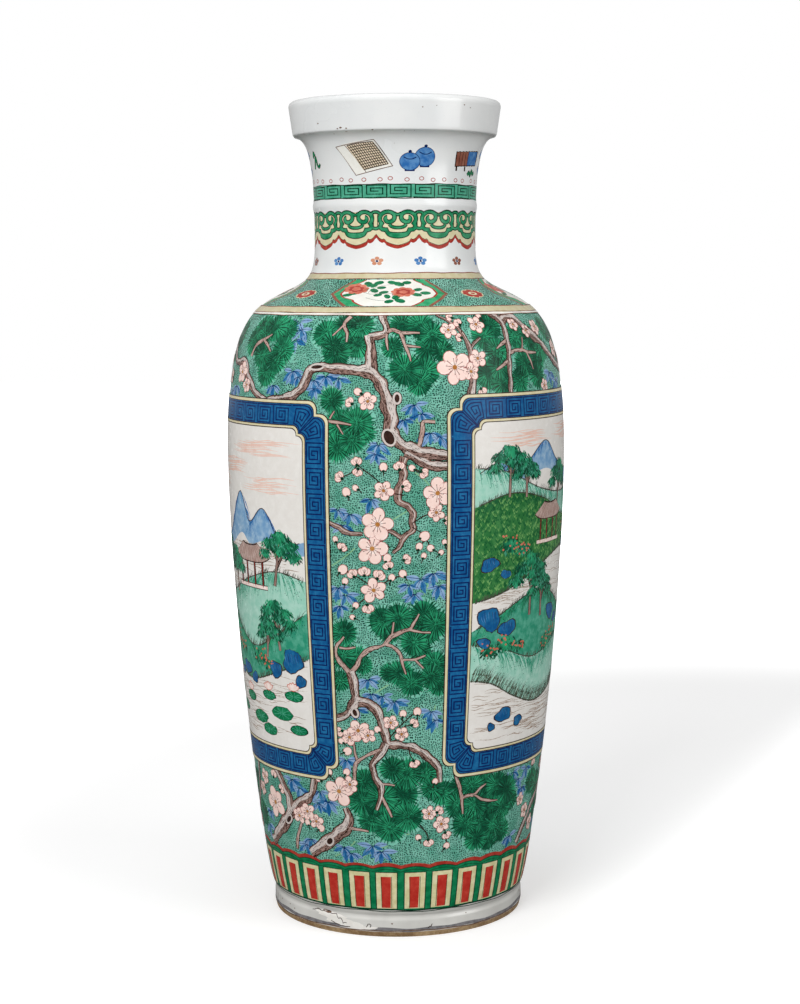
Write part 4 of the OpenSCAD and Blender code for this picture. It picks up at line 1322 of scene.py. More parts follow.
KNOTS = [(-2.2, 280.5, 2.6, 3.9, 25), (0.4, 301, 1.3, 2.2, 0), (-27, 317.3, 3.4, 1.0, 5),
         (-15, 131, 1.2, 2.0, 20), (-48.6, 63.5, 2.8, 1.3, 45), (-28, 55.5, 1.6, 2.2, -40),
         (56, 336.5, 2.2, 1.2, -50)]


def both_halves(places):
    """The listed places on the front half, and again half a turn on with a small seeded shift."""
    p = np.array(places, float)
    shift = np.zeros_like(p)
    shift[:, 0] = 180
    shift[:, :2] += rng.uniform(-1, 1, (len(p), 2)) * (0.35, 0.9)
    return np.concatenate([p, p + shift])


def both_paths(paths):
    """Paths on the front half, and again half a turn on."""
    points = [np.array(path, float) for path in paths]
    return points + [path + np.eye(path.shape[1])[0] * 180 for path in points]


def beside(a0, m0, reach, heading):
    """Angles and heights of places a reach away from others, along a heading."""
    x, y = turned_by(reach, 0.0, heading)
    return a0 + np.degrees(x / wall_radius(m0)), m0 + y


SPRAY_LEAVES = [(-172, 1), (-8, 1), (-148, 0), (-36, 0), (-122, 1), (-62, 1), (-92, 0)]   # heading, tone


def bamboo():
    """Sprays of pointed blue leaves in two tones: each outline is a lens whose half width follows the sine
    of the way along it, with a dark rib down the middle. Pale stalks stand among them."""
    *tones, ribs, stalks = enamels(bamboo_leaves="bamboo_blue", bamboo_pale_leaves="bamboo_pale",
                                   bamboo_ribs="navy_line", bamboo_stalks="stalk_green")
    sprays = both_halves(BAMBOO)
    t = np.r_[np.linspace(0, 1, 6), np.linspace(1, 0, 6)[1:-1]]
    side = np.r_[np.full(6, -1.0), np.full(4, 1.0)]
    for leaf, (heading, tone) in enumerate(SPRAY_LEAVES):
        turn = heading + rng.uniform(-20, 20, (len(sprays), 1))
        length = sprays[:, 2:3] * rng.uniform(1.0, 1.7, (len(sprays), 1))
        x = length * (0.08 + t) - length * 0.55
        y = side * np.sin(np.pi * t**0.8) * length * 0.19
        a0, m0 = beside(sprays[:, :1], sprays[:, 1:2], length * 0.55, turn)
        tones[tone].domes(a0[:, 0], m0[:, 0], *turned_by(x, y, turn), L_BAMBOO + 0.1 * leaf, crown=0.3)
        rib = local(a0, m0, *turned_by(np.linspace(-0.5, 0.5, 4) * length, 0.0, turn))
        ribs.strokes(rib, np.array([0.4, 0.36, 0.28, 0.12]), L_BAMBOO + 1)
    for path in both_paths(STALKS):
        stalks.strokes(smooth(path), 0.75, L_BAMBOO)


PINE_TOP = 348.0
PINE_LEVELS = 3
PINE_RISE = 1.2
PINE_RINGS = (1.0, 0.92, 0.62, 0.32)
# Needles of a fan: number, points, shares of its size, widths, height over its pad
FAN_NEEDLES = [(34, 2, (0.75, 1.1), (1.1, 0.14), 0), (18, 4, (0.1, 1.06), (0.3, 0.36), 0.95),
               (24, 3, (0.4, 1.1), (0.44, 0.22), 0.95), (5, 2, (0.62, 1.0), (0.12, 0.26), 1.1)]


def needles(piece, fans, number, points, shares, widths, layer):
    """Straight tapering needles round the middle of each fan, given by angle, height and size: they run
    between two shares of the size, each a little off in turn and length."""
    a0, m0, size = fans.T[:, :, None, None]
    jitter = rng.uniform(-1, 1, (3, len(fans), number))
    turn = (np.linspace(0, 2 * np.pi, number, endpoint=False) + 0.09 * jitter[0])[..., None]
    near = size * (shares[0] + 0.06 * jitter[1][..., None])
    far = size * (shares[1] + 0.11 * jitter[2][..., None])
    s = np.linspace(0, 1, points)
    reach = near + (far - near) * s
    paths = local(a0, m0, reach * np.cos(turn), reach * np.sin(turn))
    piece.strokes(paths.reshape(-1, points, 2), np.interp(s, (0, 1), widths), layer)


def pine():
    """Fans of needles: on a pale wash that hides the dots, an emerald pad with a ragged fringe, and dark
    needles that spread from its middle, with a few light ones. The fans lie on three levels, so that each
    hides the needles of those under it."""
    wash, pads, fringe, dark, light = enamels(pine_washes="needle_tip_green", pine_pads="pine_green",
                                              pine_fringe="pine_green", pine_needles="needle_green",
                                              pine_light_needles="fret_turquoise")
    lobes = both_halves(PINE_LOBES)
    lobes[:, 1] = np.minimum(lobes[:, 1], PINE_TOP - lobes[:, 2])
    for level in range(PINE_LEVELS):
        fans = lobes[level::PINE_LEVELS]
        layer = L_PINE + 0.4 + PINE_RISE * level
        a0, m0, size = fans.T
        rough = size[:, None] * (1 + 0.05 * rng.standard_normal((len(fans), 18)).clip(-1.5, 1.5))
        wash.domes(a0, m0, *disc(1.14 * rough, 1.14 * rough, 18), L_PINE - 0.6, rings=PINE_RINGS)
        pads.domes(a0, m0, *disc(0.9 * rough, 0.9 * rough, 18), layer, rings=PINE_RINGS, crown=0.1)
        for piece, (*drawn, above) in zip((fringe, dark, dark, light), FAN_NEEDLES):
            needles(piece, fans, *drawn, layer + above)


def gnarled(path, step=1.5):
    """A limb's line with the swells and kinks of old wood: seeded noise, smoothed along the line, moves it
    sideways and changes its width."""
    curve = smooth(path, step)
    noise = rng.standard_normal((len(curve) + 4, 3))
    soft = (noise[:-4] + 2 * noise[1:-3] + 3 * noise[2:-2] + 2 * noise[3:-1] + noise[4:]) / 9
    width = curve[:, 2]
    place_on = curve[:, :2] + soft[:, :2] * np.minimum(width, 4)[:, None] * (0.09, 0.15)
    return place_on, width * (1 + 0.3 * soft[:, 2])


def scratches(piece, place_on, width, share, low, high, layer):
    """Short dark strokes along a limb, between two sideways shares of its half width."""
    at = np.repeat(np.arange(1, len(width) - 1), np.round(share[1:-1]).astype(int))
    if not len(at):
        return
    radius = wall_radius(place_on[at, 1])
    ahead = (place_on[at + 1] - place_on[at - 1]) * np.stack([np.radians(radius), 0 * radius + 1], 1)
    ahead /= np.hypot(*ahead.T)[:, None]
    off = 0.5 * width[at] * rng.uniform(low, high, len(at))
    slip = rng.uniform(-0.8, 0.8, len(at))
    long = rng.uniform(0.5, 1.2, len(at))[:, None] * np.array([-1.0, 1.0])
    x = ahead[:, :1] * (long + slip[:, None]) - ahead[:, 1:] * off[:, None]
    y = ahead[:, 1:] * (long + slip[:, None]) + ahead[:, :1] * off[:, None]
    paths = local(place_on[at, :1], place_on[at, 1:], x, y)
    piece.strokes(paths, np.array((0.34, 0.14)), layer)


def limbs():
    """Old wood: a dark outline, aubergine bark with short dark scratches, a pale highlight along one side,
    and knot holes with pale rims; the young twigs of the pines are pink-brown."""
    outline, bark, young, edge, pale, marks, hollow = enamels(
        limb_outlines="brown_black_line", limb_bark="bark_aubergine", young_twigs="twig_pink",
        young_twig_edges="brown_black_line", limb_highlights="bark_white", bark_marks="brown_black_line",
        knot_holes="brown_black_line")
    for path in both_paths(LIMBS):
        place_on, width = gnarled(path)
        outline.strokes(place_on, width + 1.1, L_BRANCH)
        bark.strokes(place_on, width, L_BRANCH + 1)
        light = width * (0.46 + 0.1 * np.sin(np.arange(len(width)) * 0.35 + rng.uniform(0, 6)))
        pale.strokes(place_on, np.clip(light, 0.2, None), L_BRANCH + 2, shift=0.2 * width)
        scratches(marks, place_on, width, width * 0.9, -0.95, 0.05, L_BRANCH + 2)
        scratches(marks, place_on, width, width * 0.22, 0.1, 0.8, L_BRANCH + 2.8)
    for path in both_paths(PRUNUS_TWIGS):
        place_on, width = gnarled(path, 1.2)
        width = 0.86 * width
        outline.strokes(place_on, width + 0.9, L_BRANCH)
        bark.strokes(place_on, width, L_BRANCH + 1)
        pale.strokes(place_on, 0.14 * width, L_BRANCH + 2, shift=0.22 * width)
        scratches(marks, place_on, width, width * 0.5, -0.9, 0.2, L_BRANCH + 2)
    for path in both_paths(TWIGS):
        place_on, width = gnarled(path)
        edge.strokes(place_on, 0.72 * width + 0.75, L_BRANCH)
        young.strokes(place_on, 0.7 * width, L_BRANCH + 1)
        scratches(marks, place_on, width, 0.25 * width, -0.9, 0.9, L_BRANCH + 2)
    knots = both_halves(KNOTS)
    x, y = disc(1.0, 1.0, 14)
    for piece, grow, layer in ((outline, 1.5, L_BRANCH + 1.4), (pale, 1.1, L_BRANCH + 2.4),
                               (hollow, 0.0, L_BRANCH + 3.4)):
        shape = turned_by((knots[:, 2:3] + grow) * x, (knots[:, 3:4] + grow) * y, knots[:, 4:5])
        piece.domes(knots[:, 0], knots[:, 1], *shape, layer, rings=(1.0, 0.9, 0.5))


PETALS, STAMENS = 5, 11
# Turns off the heading of a blossom seen from the side
SIDE_PETALS, SIDE_STAMENS = (-52, 52, 0), (-24, -4, 18)


class PrunusFlowers:
    """Petals with thin red outlines and a blush, eyes, stamens and calyxes, gathered colour by colour."""

    def __init__(self):
        self.petals, self.blush, self.lines, self.eyes, self.stamens, self.stems, self.calyx = enamels(
            petals="petal_pink", petal_blush="petal_blush", petal_lines="petal_red_line",
            blossom_eyes="stamen_ochre", stamens="stamen_brown", blossom_stems="brown_black_line",
            bud_calyxes="dark_green_line")

    def petal(self, a, m, long, wide, heading, layer):
        """Round petals at columns of places: outline, pale body and a blush towards the tip."""
        x, y = turned_by(*disc(long, wide, 12), heading)
        self.petals.domes(a[:, 0], m[:, 0], x, y, layer)
        self.lines.strokes(local(a, m, x * 0.98, y * 0.98), 0.3, layer + 0.5, closed=True)
        self.blush.domes(a[:, 0], m[:, 0], x * 0.8, y * 0.8, layer + 0.5, crown=0.15)

    def open_blossoms(self, flowers):
        """Five petals round an ochre eye with stamens that end in dots."""
        a0, m0, size = flowers.T[:, :, None]
        turn = rng.uniform(0, 72, a0.shape)
        for petal in range(PETALS):
            heading = turn + 72 * petal + rng.uniform(-8, 8, a0.shape)
            spot = beside(a0, m0, size * rng.uniform(0.5, 0.62, a0.shape), heading)
            long = size * rng.uniform(0.36, 0.47, a0.shape)
            wide = size * rng.uniform(0.33, 0.43, a0.shape)
            self.petal(*spot, long, wide, heading, L_BLOSSOM + 0.12 * petal)
        for piece, radius, layer in ((self.petals, size * 0.34, 1.0), (self.eyes, 0.3 + size * 0.11, 2.2)):
            piece.domes(a0[:, 0], m0[:, 0], *disc(radius, radius, 12), L_BLOSSOM + layer)
        for spoke in range(STAMENS):
            heading = turn + 360 / STAMENS * spoke + rng.uniform(-8, 8, a0.shape)
            reach = size * np.array([0.14, 0.46]) * rng.uniform(0.75, 1.2, a0.shape)
            path = local(a0, m0, *turned_by(reach, 0.0, heading))
            self.stamens.strokes(path, 0.25, L_BLOSSOM + 2.2)
            self.stamens.domes(*path[:, -1].T, *disc(0.3, 0.3, 6), L_BLOSSOM + 2.4)

    def side_blossoms(self, flowers):
        """Three petals that open one way, with a dark calyx behind and a few stamens."""
        a0, m0, size, heading = flowers.T[:, :, None]
        for number, turn in enumerate(SIDE_PETALS):
            spot = beside(a0, m0, size * 0.34, heading + turn)
            self.petal(*spot, size * 0.46, size * 0.4, heading + turn, L_BLOSSOM + 0.2 * number)
        for turn in SIDE_STAMENS:
            reach = turned_by(size * np.linspace(-0.05, 0.5, 3), 0.0, heading + turn)
            self.stamens.strokes(local(a0, m0, *reach), 0.22, L_BLOSSOM + 2.2)
        back = local(a0, m0, *turned_by(-size * 0.2, 0.0, heading))[:, 0]
        self.calyx.domes(*back.T, *disc(1.0, 0.9, 8), L_BLOSSOM + 2)

    def buds(self, buds):
        """Single round petals with a dark calyx below."""
        heading = rng.uniform(20, 160, (len(buds), 1))
        a0, m0, size = buds.T[:, :, None]
        self.petal(a0, m0, size, size * 0.9, heading, L_BLOSSOM + 0.7)
        tail = local(a0, m0, *turned_by(-size * 0.9 - np.array([0.0, 1.2, 2.6]), 0.0, heading))
        self.calyx.domes(*tail[:, 0].T, *disc(0.85, 0.7, 8), L_BLOSSOM + 2)
        self.stems.strokes(tail, 0.5, L_BRANCH + 2.4)


def blossoms():
    """Prunus flowers of all kinds, with their thin stems."""
    flowers = PrunusFlowers()
    for path in both_paths(STEMS):
        flowers.stems.strokes(smooth(path), 0.6, L_BRANCH + 2.4)
    flowers.open_blossoms(both_halves(BLOSSOMS))
    flowers.side_blossoms(both_halves(SIDE_BLOSSOMS))
    flowers.buds(both_halves(BUDS))


bamboo()
pine()
limbs()
blossoms()


# Picture panels

REF_R = 92.0          # wall radius at which the panels' widths are measured
FIELD_INSET = 14.4    # from a panel's edge to the picture
# Middle and half width in degrees, lower and upper edge
PANELS = {"west": (-93.0, 71.1, 91.0, 299.4), "east": (87.0, 70.6, 93.0, 302.6)}
FRET_INSET = (2.9, 12.6)
# Blue band, then outline and edging of its outer and of its inner side: two insets, and how far above L_PANEL
FRAME_LINES = [(14.0, 1.0, 0), (2.2, -0.2, 1), (1.75, 0.3, 1.8), (15.3, 13.2, 3.6), (14.9, 13.65, 4.3)]
FRET_PITCH = 13.2     # about the length of side that one squared spiral takes
CORNER_RUN = 22.0     # from the corner of a panel's box to the first squared spiral of a side
CORNER_TURN = np.linspace(0, np.pi / 2, 6)
SIDE_STEPS = (70, 110, 70, 110)


def corner_step(inset):
    """Depth of the step in a panel's corner and radius of its shoulders, less on the inner lines."""
    return 7.0 - 0.2 * inset, 4.6 - 0.08 * inset


def frame_loop(panel, inset):
    """Closed line round a panel, counterclockwise and a set way inside its edge: four sides, and corners
    that step in between two rounded shoulders."""
    middle, half, low, high = panel
    width = np.radians(half) * REF_R - inset
    step, shoulder = corner_step(inset)
    sine, cosine = np.sin(CORNER_TURN), np.cos(CORNER_TURN)
    first = np.stack([-step - shoulder + shoulder * sine, shoulder - shoulder * cosine], 1)
    last = np.stack([-shoulder + shoulder * sine, step + shoulder - shoulder * cosine], 1)
    corner = np.concatenate([first, [(-step, step)], last])
    loop = []
    for x, y, turn in ((width, low + inset, 0), (width, high - inset, 90),
                       (-width, high - inset, 180), (-width, low + inset, 270)):
        loop.append(np.stack(turned_by(corner[:, 0], corner[:, 1], turn), 1) + (x, y))
    sides = []
    for here, after, count in zip(loop, loop[1:] + loop[:1], SIDE_STEPS):
        sides += [here, np.linspace(here[-1], after[0], count + 1)[1:-1]]
    points = np.concatenate(sides)
    return np.stack([middle + np.degrees(points[:, 0] / REF_R), points[:, 1]], 1)[None]


def square_spiral(turns, gap):
    """Squared spiral in a unit square: each turn is one gap further in."""
    points = []
    for turn in range(turns):
        low, high = turn * gap, 1 - turn * gap
        points += [(low, low), (high, low), (high, high), (low + gap, high)]
    last = turns * gap
    return np.array(points + [(last, last), (1 - last, last)])


def corner_edge(inset):
    """Line from a side into a panel's corner, a set way inside its edge: along the side, round the shoulder
    and on to the inner point of the step, in mm from the corner of the panel's box."""
    step, shoulder = corner_step(inset)
    x = np.r_[CORNER_RUN - inset, step + shoulder - shoulder * np.sin(CORNER_TURN), step]
    y = np.r_[0, shoulder - shoulder * np.cos(CORNER_TURN), step]
    return np.stack([x, y], 1) + inset


def frame_frets(panel):
    """Paths of the squared spirals on a panel's blue band: a row on each side, and in each corner two that
    bend with it, drawn between lines at the band's two edges."""
    middle, half, low, high = panel
    width = np.radians(half) * REF_R
    near, far = FRET_INSET
    spiral = steps_between(square_spiral(3, 0.165) * 12.0, 2.0) / 12.0
    paths = []
    for x, y, turn, length in ((0, low, 0, 2 * width), (width, (low + high) / 2, 90, high - low),
                               (0, high, 180, 2 * width), (-width, (low + high) / 2, 270, high - low)):
        run = length - 2 * CORNER_RUN
        count = int(round(run / FRET_PITCH))
        start = (np.arange(count)[:, None] - count / 2) * run / count
        way = start + (0.025 + 0.95 * spiral[:, 0]) * run / count + rng.uniform(-0.15, 0.15, (count, 1))
        across = np.broadcast_to(near + (far - near) * spiral[:, 1], way.shape)
        way, across = turned_by(way, across, turn)
        paths.append(np.stack([x + way, y + across], -1))
    outer, inner = (along(corner_edge(inset), 0.02 + 0.93 * spiral[:, 0]) for inset in FRET_INSET)
    bent = outer + (inner - outer) * spiral[:, 1:]
    for side_x in (-1, 1):
        for side_y, y in ((1, low), (-1, high)):
            for way, across in (bent.T, bent.T[::-1]):
                paths.append(np.stack([side_x * (width - way), y + side_y * across], -1)[None])
    paths = np.concatenate(paths)
    return np.stack([middle + np.degrees(paths[..., 0] / REF_R), paths[..., 1]], -1)


def frames():
    """Blue borders of the panels: a band of squared spirals between dark-edged pale yellow lines."""
    blue, dark, yellow, fret = enamels(frame_bands="frame_blue", frame_outlines="brown_black_line",
                                       frame_edgings="pale_yellow", frame_frets="navy_line")
    for panel in PANELS.values():
        for piece, (inner, outer, above) in zip((blue, dark, yellow, dark, yellow), FRAME_LINES):
            piece.ribbons(frame_loop(panel, inner), frame_loop(panel, outer), L_PANEL + above, closed=True,
                          spread=3.0)
        fret.strokes(frame_frets(panel), 0.72, L_PANEL + 1)


# Landscapes in the panels

PICTURE_COLOURS = {
    "field": "field_white", "clouds": "cloud_red", "peaks": "mist_blue", "celadon": "celadon",
    "hills": "hill_green", "meadow": "meadow_green", "tufts": "tuft_green", "sprigs": "tuft_light",
    "ripples": "ripple_brown", "grass": "grass_line", "lines": "brown_black_line",
    "trunks": "bark_aubergine", "pads": "pine_green", "leaves": "needle_green",
    "light_leaves": "fret_turquoise", "rocks": "frame_blue", "bloom": "coral_red", "lotus": "leaf_green",
    "petals": "petal_pink", "blue_lines": "jar_blue", "posts": "iron_red", "roofs": "twig_pink",
}
PAINTS = {name: Enamel(f"picture_{name}", colour) for name, colour in PICTURE_COLOURS.items()}
FIELD, SKY, FAR, NEAR, FRONT = L_PANEL + 0.6 * np.arange(5)      # layers of a picture
SAFE = 1.2                                                       # brush lines keep this far from the frame
STEP_IN = 11.0                                                   # and this far from its stepped corners


class Picture:
    """A panel's field in its own millimetres: x from the middle, y from the lower edge."""

    def __init__(self, name):
        self.middle, half, low, high = PANELS[name]
        self.half = np.radians(half) * REF_R - FIELD_INSET
        self.low = low + FIELD_INSET
        self.tall = high - FIELD_INSET - self.low
        self.x = np.linspace(-self.half, self.half, 106)

    def at(self, x, y):
        """Angle and height on the wall of points of the picture."""
        x, y = np.broadcast_arrays(x, y)
        return np.stack([self.middle + np.degrees(x / REF_R), self.low + y], -1)

    def crest(self, points):
        """Height of a drawn line at the picture's steps in x."""
        return np.interp(self.x, *smooth(points).T[:2])

    def strewn(self, count, margin=0.0):
        """Seeded places in x, as a column."""
        return rng.uniform(-self.half + margin, self.half - margin, (count, 1))

    def between(self, base, top, x, share):
        """Height at a share of the way from one line to another."""
        low = np.interp(x, self.x, base)
        return low + share * (np.interp(x, self.x, top) - low)

    def ground(self, paint, top, base, layer):
        """Paints between two lines right across the picture."""
        lines = (self.at(self.x, line)[None] for line in (top, np.minimum(base, top)))
        PAINTS[paint].ribbons(*lines, layer, spread=6.0)

    def field(self):
        """Paints the whole field; its corners step in as the frame's do."""
        step, shoulder = corner_step(FIELD_INSET)
        side = self.half - np.abs(self.x)
        near = np.clip(side, 0, shoulder) - shoulder
        inner = np.clip(side - step, 0, shoulder) - shoulder
        drop = np.where(side < step, step + shoulder - np.sqrt(shoulder**2 - near**2),
                        shoulder - np.sqrt(shoulder**2 - inner**2))
        self.ground("field", self.tall - drop, drop, FIELD)

    def strokes(self, paint, x, y, width, layer):
        """Brush lines through points (N, T); those that would reach the frame are left out."""
        x, y = np.broadcast_arrays(x, y)
        inside = ((np.abs(x) < self.half - SAFE) & (y > SAFE) & (y < self.tall - SAFE)
                  & (np.abs(x) - self.half + np.maximum(STEP_IN - y, STEP_IN - self.tall + y) < 0)).all(1)
        if inside.any():
            PAINTS[paint].strokes(self.at(x, y)[inside], np.broadcast_to(width, x.shape)[inside], layer)

    def blobs(self, paint, x, y, shape_x, shape_y, layer, **form):
        """Filled shapes round points of the picture."""
        spot = self.at(np.ravel(x), np.ravel(y))
        PAINTS[paint].domes(spot[:, 0], spot[:, 1], shape_x, shape_y, layer, **form)


def columns(*values):
    """Lists of numbers as columns, one row for each shape."""
    return [np.array(v, float)[:, None] for v in values]


def grass(picture, line, length, count, lean=0.5):
    """Blades that stand on a drawn line: each bends as it rises."""
    x = picture.strewn(count)
    y = np.interp(x, picture.x, line)
    t = np.linspace(0, 1, 3)
    tall = length * rng.uniform(0.5, 1.15, (count, 1))
    tilt = lean + rng.uniform(-0.45, 0.45, (count, 1))
    width = np.array((0.42, 0.32, 0.1))
    picture.strokes("grass", x + tall * tilt * t**1.6, y - 0.6 + tall * t, width, FRONT)


def tufts(picture, paint, top, base, count, tall, layer):
    """Small fans of three blades strewn over a meadow, between two lines."""
    x = picture.strewn(count)
    y = picture.between(base, top, x, rng.uniform(0.03, 0.97, (count, 1)))
    t = np.array([0.0, 1.0])
    for tilt in (-0.6, 0.0, 0.6):
        rise = tall * rng.uniform(0.7, 1.3, (count, 1))
        side = x + rise * t * (tilt + rng.uniform(-0.2, 0.2, (count, 1)))
        picture.strokes(paint, side, y + rise * t, np.array((0.52, 0.16)), layer)


def ripples(picture, top, base, count, layer, reach=(8, 26)):
    """Level water lines, thin at both ends, strewn between two lines."""
    x = picture.strewn(count)
    y = picture.between(base, top, x, rng.uniform(0.02, 1.0, (count, 1)) ** 0.8)
    t = np.linspace(-0.5, 0.5, 8)
    length = rng.uniform(*reach, (count, 1))
    sway = rng.uniform(0.2, 0.7, (count, 1)) * np.sin(2 * np.pi * (t + rng.uniform(0, 1, (count, 1))))
    picture.strokes("ripples", x + length * t, y + sway, 0.12 + 0.34 * (1 - 4 * t**2), layer)


def specks(picture, top, depth, layer):
    """Fine dots along the shaded edge under a crest."""
    x = picture.strewn(400, 2)[:, 0]
    y = np.interp(x, picture.x, top) - 0.5 - depth * rng.uniform(0, 1, 400) ** 2
    keep = (y > 12) & (y < picture.tall - 12)
    picture.blobs("leaves", x[keep], y[keep], *disc(0.32, 0.28, 5), layer)


def creases(picture, paint, top, depth, count, layer, width):
    """Brush lines that run down from a crest and lean the way the ground falls, thin at both ends."""
    x = picture.strewn(count, 3)
    slope = np.interp(x, picture.x, np.gradient(top, picture.x))
    t = np.linspace(0, 1, 5)
    fall = depth * rng.uniform(0.3, 1.0, (count, 1))
    lean = np.tanh(6 * slope) * rng.uniform(0.3, 0.9, (count, 1))
    y = np.interp(x, picture.x, top) - 0.4 - fall * t
    picture.strokes(paint, x - lean * fall * t**0.7, y, width * np.array((0.3, 1.0, 0.9, 0.6, 0.2)), layer)


def rocks(picture, x, y, size, layer):
    """Boulders: an outline that swells with three waves round it, blue over a dark edge, with pale strokes
    on the lit side and dark creases."""
    t = np.linspace(0, 2 * np.pi, 18, endpoint=False)
    x, y, size = columns(x, y, size)
    swell = 1 + sum(share * np.sin(n * t + rng.uniform(0, 6, x.shape))
                    for n, share in ((2, 0.14), (3, 0.1), (5, 0.07)))
    shape = swell * np.cos(t), 0.74 * swell * np.sin(t)
    for paint, grow, above in (("lines", 0.5, 0.0), ("rocks", 0.0, 0.5)):
        picture.blobs(paint, x, y, *((size + grow) * v for v in shape), layer + above,
                      rings=(1.0, 0.9, 0.6, 0.3))
    s = np.linspace(0, 1, 5)
    for start, top, long in ((-0.68, 0.3, 0.5), (-0.5, 0.46, 0.8), (-0.32, 0.5, 0.6), (-0.12, 0.54, 0.7),
                             (0.3, 0.46, 0.5)):
        bent = start + rng.uniform(0.05, 0.25, x.shape) * s**2
        width = 0.1 + 0.11 * size * np.sin(np.pi * s)
        picture.strokes("blue_lines", x + size * bent, y + size * (top - long * s), width, layer + 0.8)
    for start, lean in ((-0.4, 0.1), (-0.05, 0.3), (0.2, 0.2), (0.45, 0.15)):
        fall = y + size * (0.5 - 0.9 * s)
        picture.strokes("lines", x + size * (start + lean * s), fall, 0.36 - 0.24 * s, layer + 1.0)


def foliage(picture, x, y, wide, tall, layer):
    """Masses of leaves: a pad, strokes of its own colour that break its edge, and dark and light leaves
    over it that hang outwards."""
    keep = (np.abs(x) < picture.half - wide - 1) & (y < picture.tall - tall - 1)
    x, y, wide, tall = columns(*(v[keep] for v in (x, y, wide, tall)))
    if not len(x):
        return
    s = np.linspace(0, 2 * np.pi, 14, endpoint=False)
    rough = 0.84 + 0.08 * rng.standard_normal((len(x), 14)).clip(-1.5, 1.5)
    picture.blobs("pads", x, y, wide * rough * np.cos(s), tall * rough * np.sin(s), layer,
                  rings=(1.0, 0.88, 0.55, 0.25))
    t = np.linspace(0, 1, 3)
    for paint, count, near, far, above in (("pads", 28, 0.72, 1.02, 0.1), ("leaves", 36, 0.0, 0.98, 0.6),
                                           ("light_leaves", 12, 0.0, 0.9, 0.7)):
        away = np.sqrt(rng.uniform(near**2, far**2, (len(x), count)))
        turn = rng.uniform(0, 2 * np.pi, (len(x), count))
        leaf_x = (x + wide * away * np.cos(turn)).reshape(-1, 1)
        leaf_y = (y + tall * away * np.sin(turn)).reshape(-1, 1)
        swing = np.cos(turn).reshape(-1, 1) + rng.uniform(-0.5, 0.5, leaf_x.shape)
        long = rng.uniform(1.3, 2.6, leaf_x.shape)
        picture.strokes(paint, leaf_x + 0.7 * long * swing * t, leaf_y + long * (0.25 - 0.85 * t),
                        np.array((0.3, 0.66, 0.12)), layer + above)


def trees(picture, x, y, tall, layer):
    """Trees: a leaning trunk with two boughs, and masses of leaves round its top."""
    x, y, tall = columns(x, y, tall)
    t = np.linspace(0, 1, 6)
    lean = rng.uniform(-0.22, 0.22, x.shape)
    for start, reach in ((0.0, 0.0), (0.35, 0.45), (0.5, -0.42)):
        rise = start + (0.86 - start) * t
        for paint, grow, above in (("lines", 0.7, 0.0), ("trunks", 0.0, 0.3)):
            picture.strokes(paint, x + tall * (lean * rise + reach * (rise - start)), y + tall * rise,
                            np.linspace(1.9 - 1.2 * start, 0.6, 6) + grow, layer + above)
    for spot_x, spot_y, size in ((0, 0.95, 0.26), (0.27, 0.8, 0.23), (-0.26, 0.82, 0.22), (0.4, 0.6, 0.19),
                                 (-0.38, 0.62, 0.18), (0.06, 0.7, 0.2)):
        mass = x + tall * (lean * spot_y + spot_x), y + tall * spot_y, size * tall, 0.62 * size * tall
        foliage(picture, *(v[:, 0] for v in mass), layer + 0.5)


def shrubs(picture, x, y, size, layer):
    """Low bushes: leaves with blossoms dotted over them."""
    foliage(picture, x, y, size, 0.7 * size, layer)
    x, y, size = columns(x, y, size)
    spread = size * rng.uniform(-1.0, 1.0, (len(x), 12))
    up = size * rng.uniform(-0.4, 0.9, (len(x), 12))
    picture.blobs("bloom", x + spread, y + up, *disc(0.75, 0.6, 8), layer + 1.0)


def pavilion(picture, x, y, size, layer):
    """An open pavilion: red posts on a pale floor under a tiled hip roof whose eaves turn up."""
    u = np.linspace(-1, 1, 13)
    ridge = picture.at(x + 0.34 * size * u, y + size * (1.0 - 0.05 * (1 - u**2)))
    eave = picture.at(x + 0.78 * size * u, y + size * (0.56 + 0.14 * u**4))
    for share in (-0.5, -0.18, 0.18, 0.5):
        stand = np.array([[x + share * size] * 4]), y + size * np.linspace(0, 0.62, 4)[None]
        picture.strokes("lines", *stand, 2.1, layer)
        picture.strokes("posts", *stand, 1.4, layer + 0.3)
    for paint, width, above in (("lines", 3.0, 0.0), ("petals", 2.2, 0.3)):
        picture.strokes(paint, x + 0.66 * size * u[None], np.full((1, 13), y), width, layer + above)
    PAINTS["roofs"].ribbons(ridge[None], eave[None], layer + 0.6)
    tiles = ridge[:, None] + (eave - ridge)[:, None] * np.linspace(0.02, 0.98, 4)[:, None]
    for edge, width in ((tiles, 0.45), (ridge, 0.9), (eave, 0.7)):
        PAINTS["lines"].strokes(edge, width, layer + 1.0)


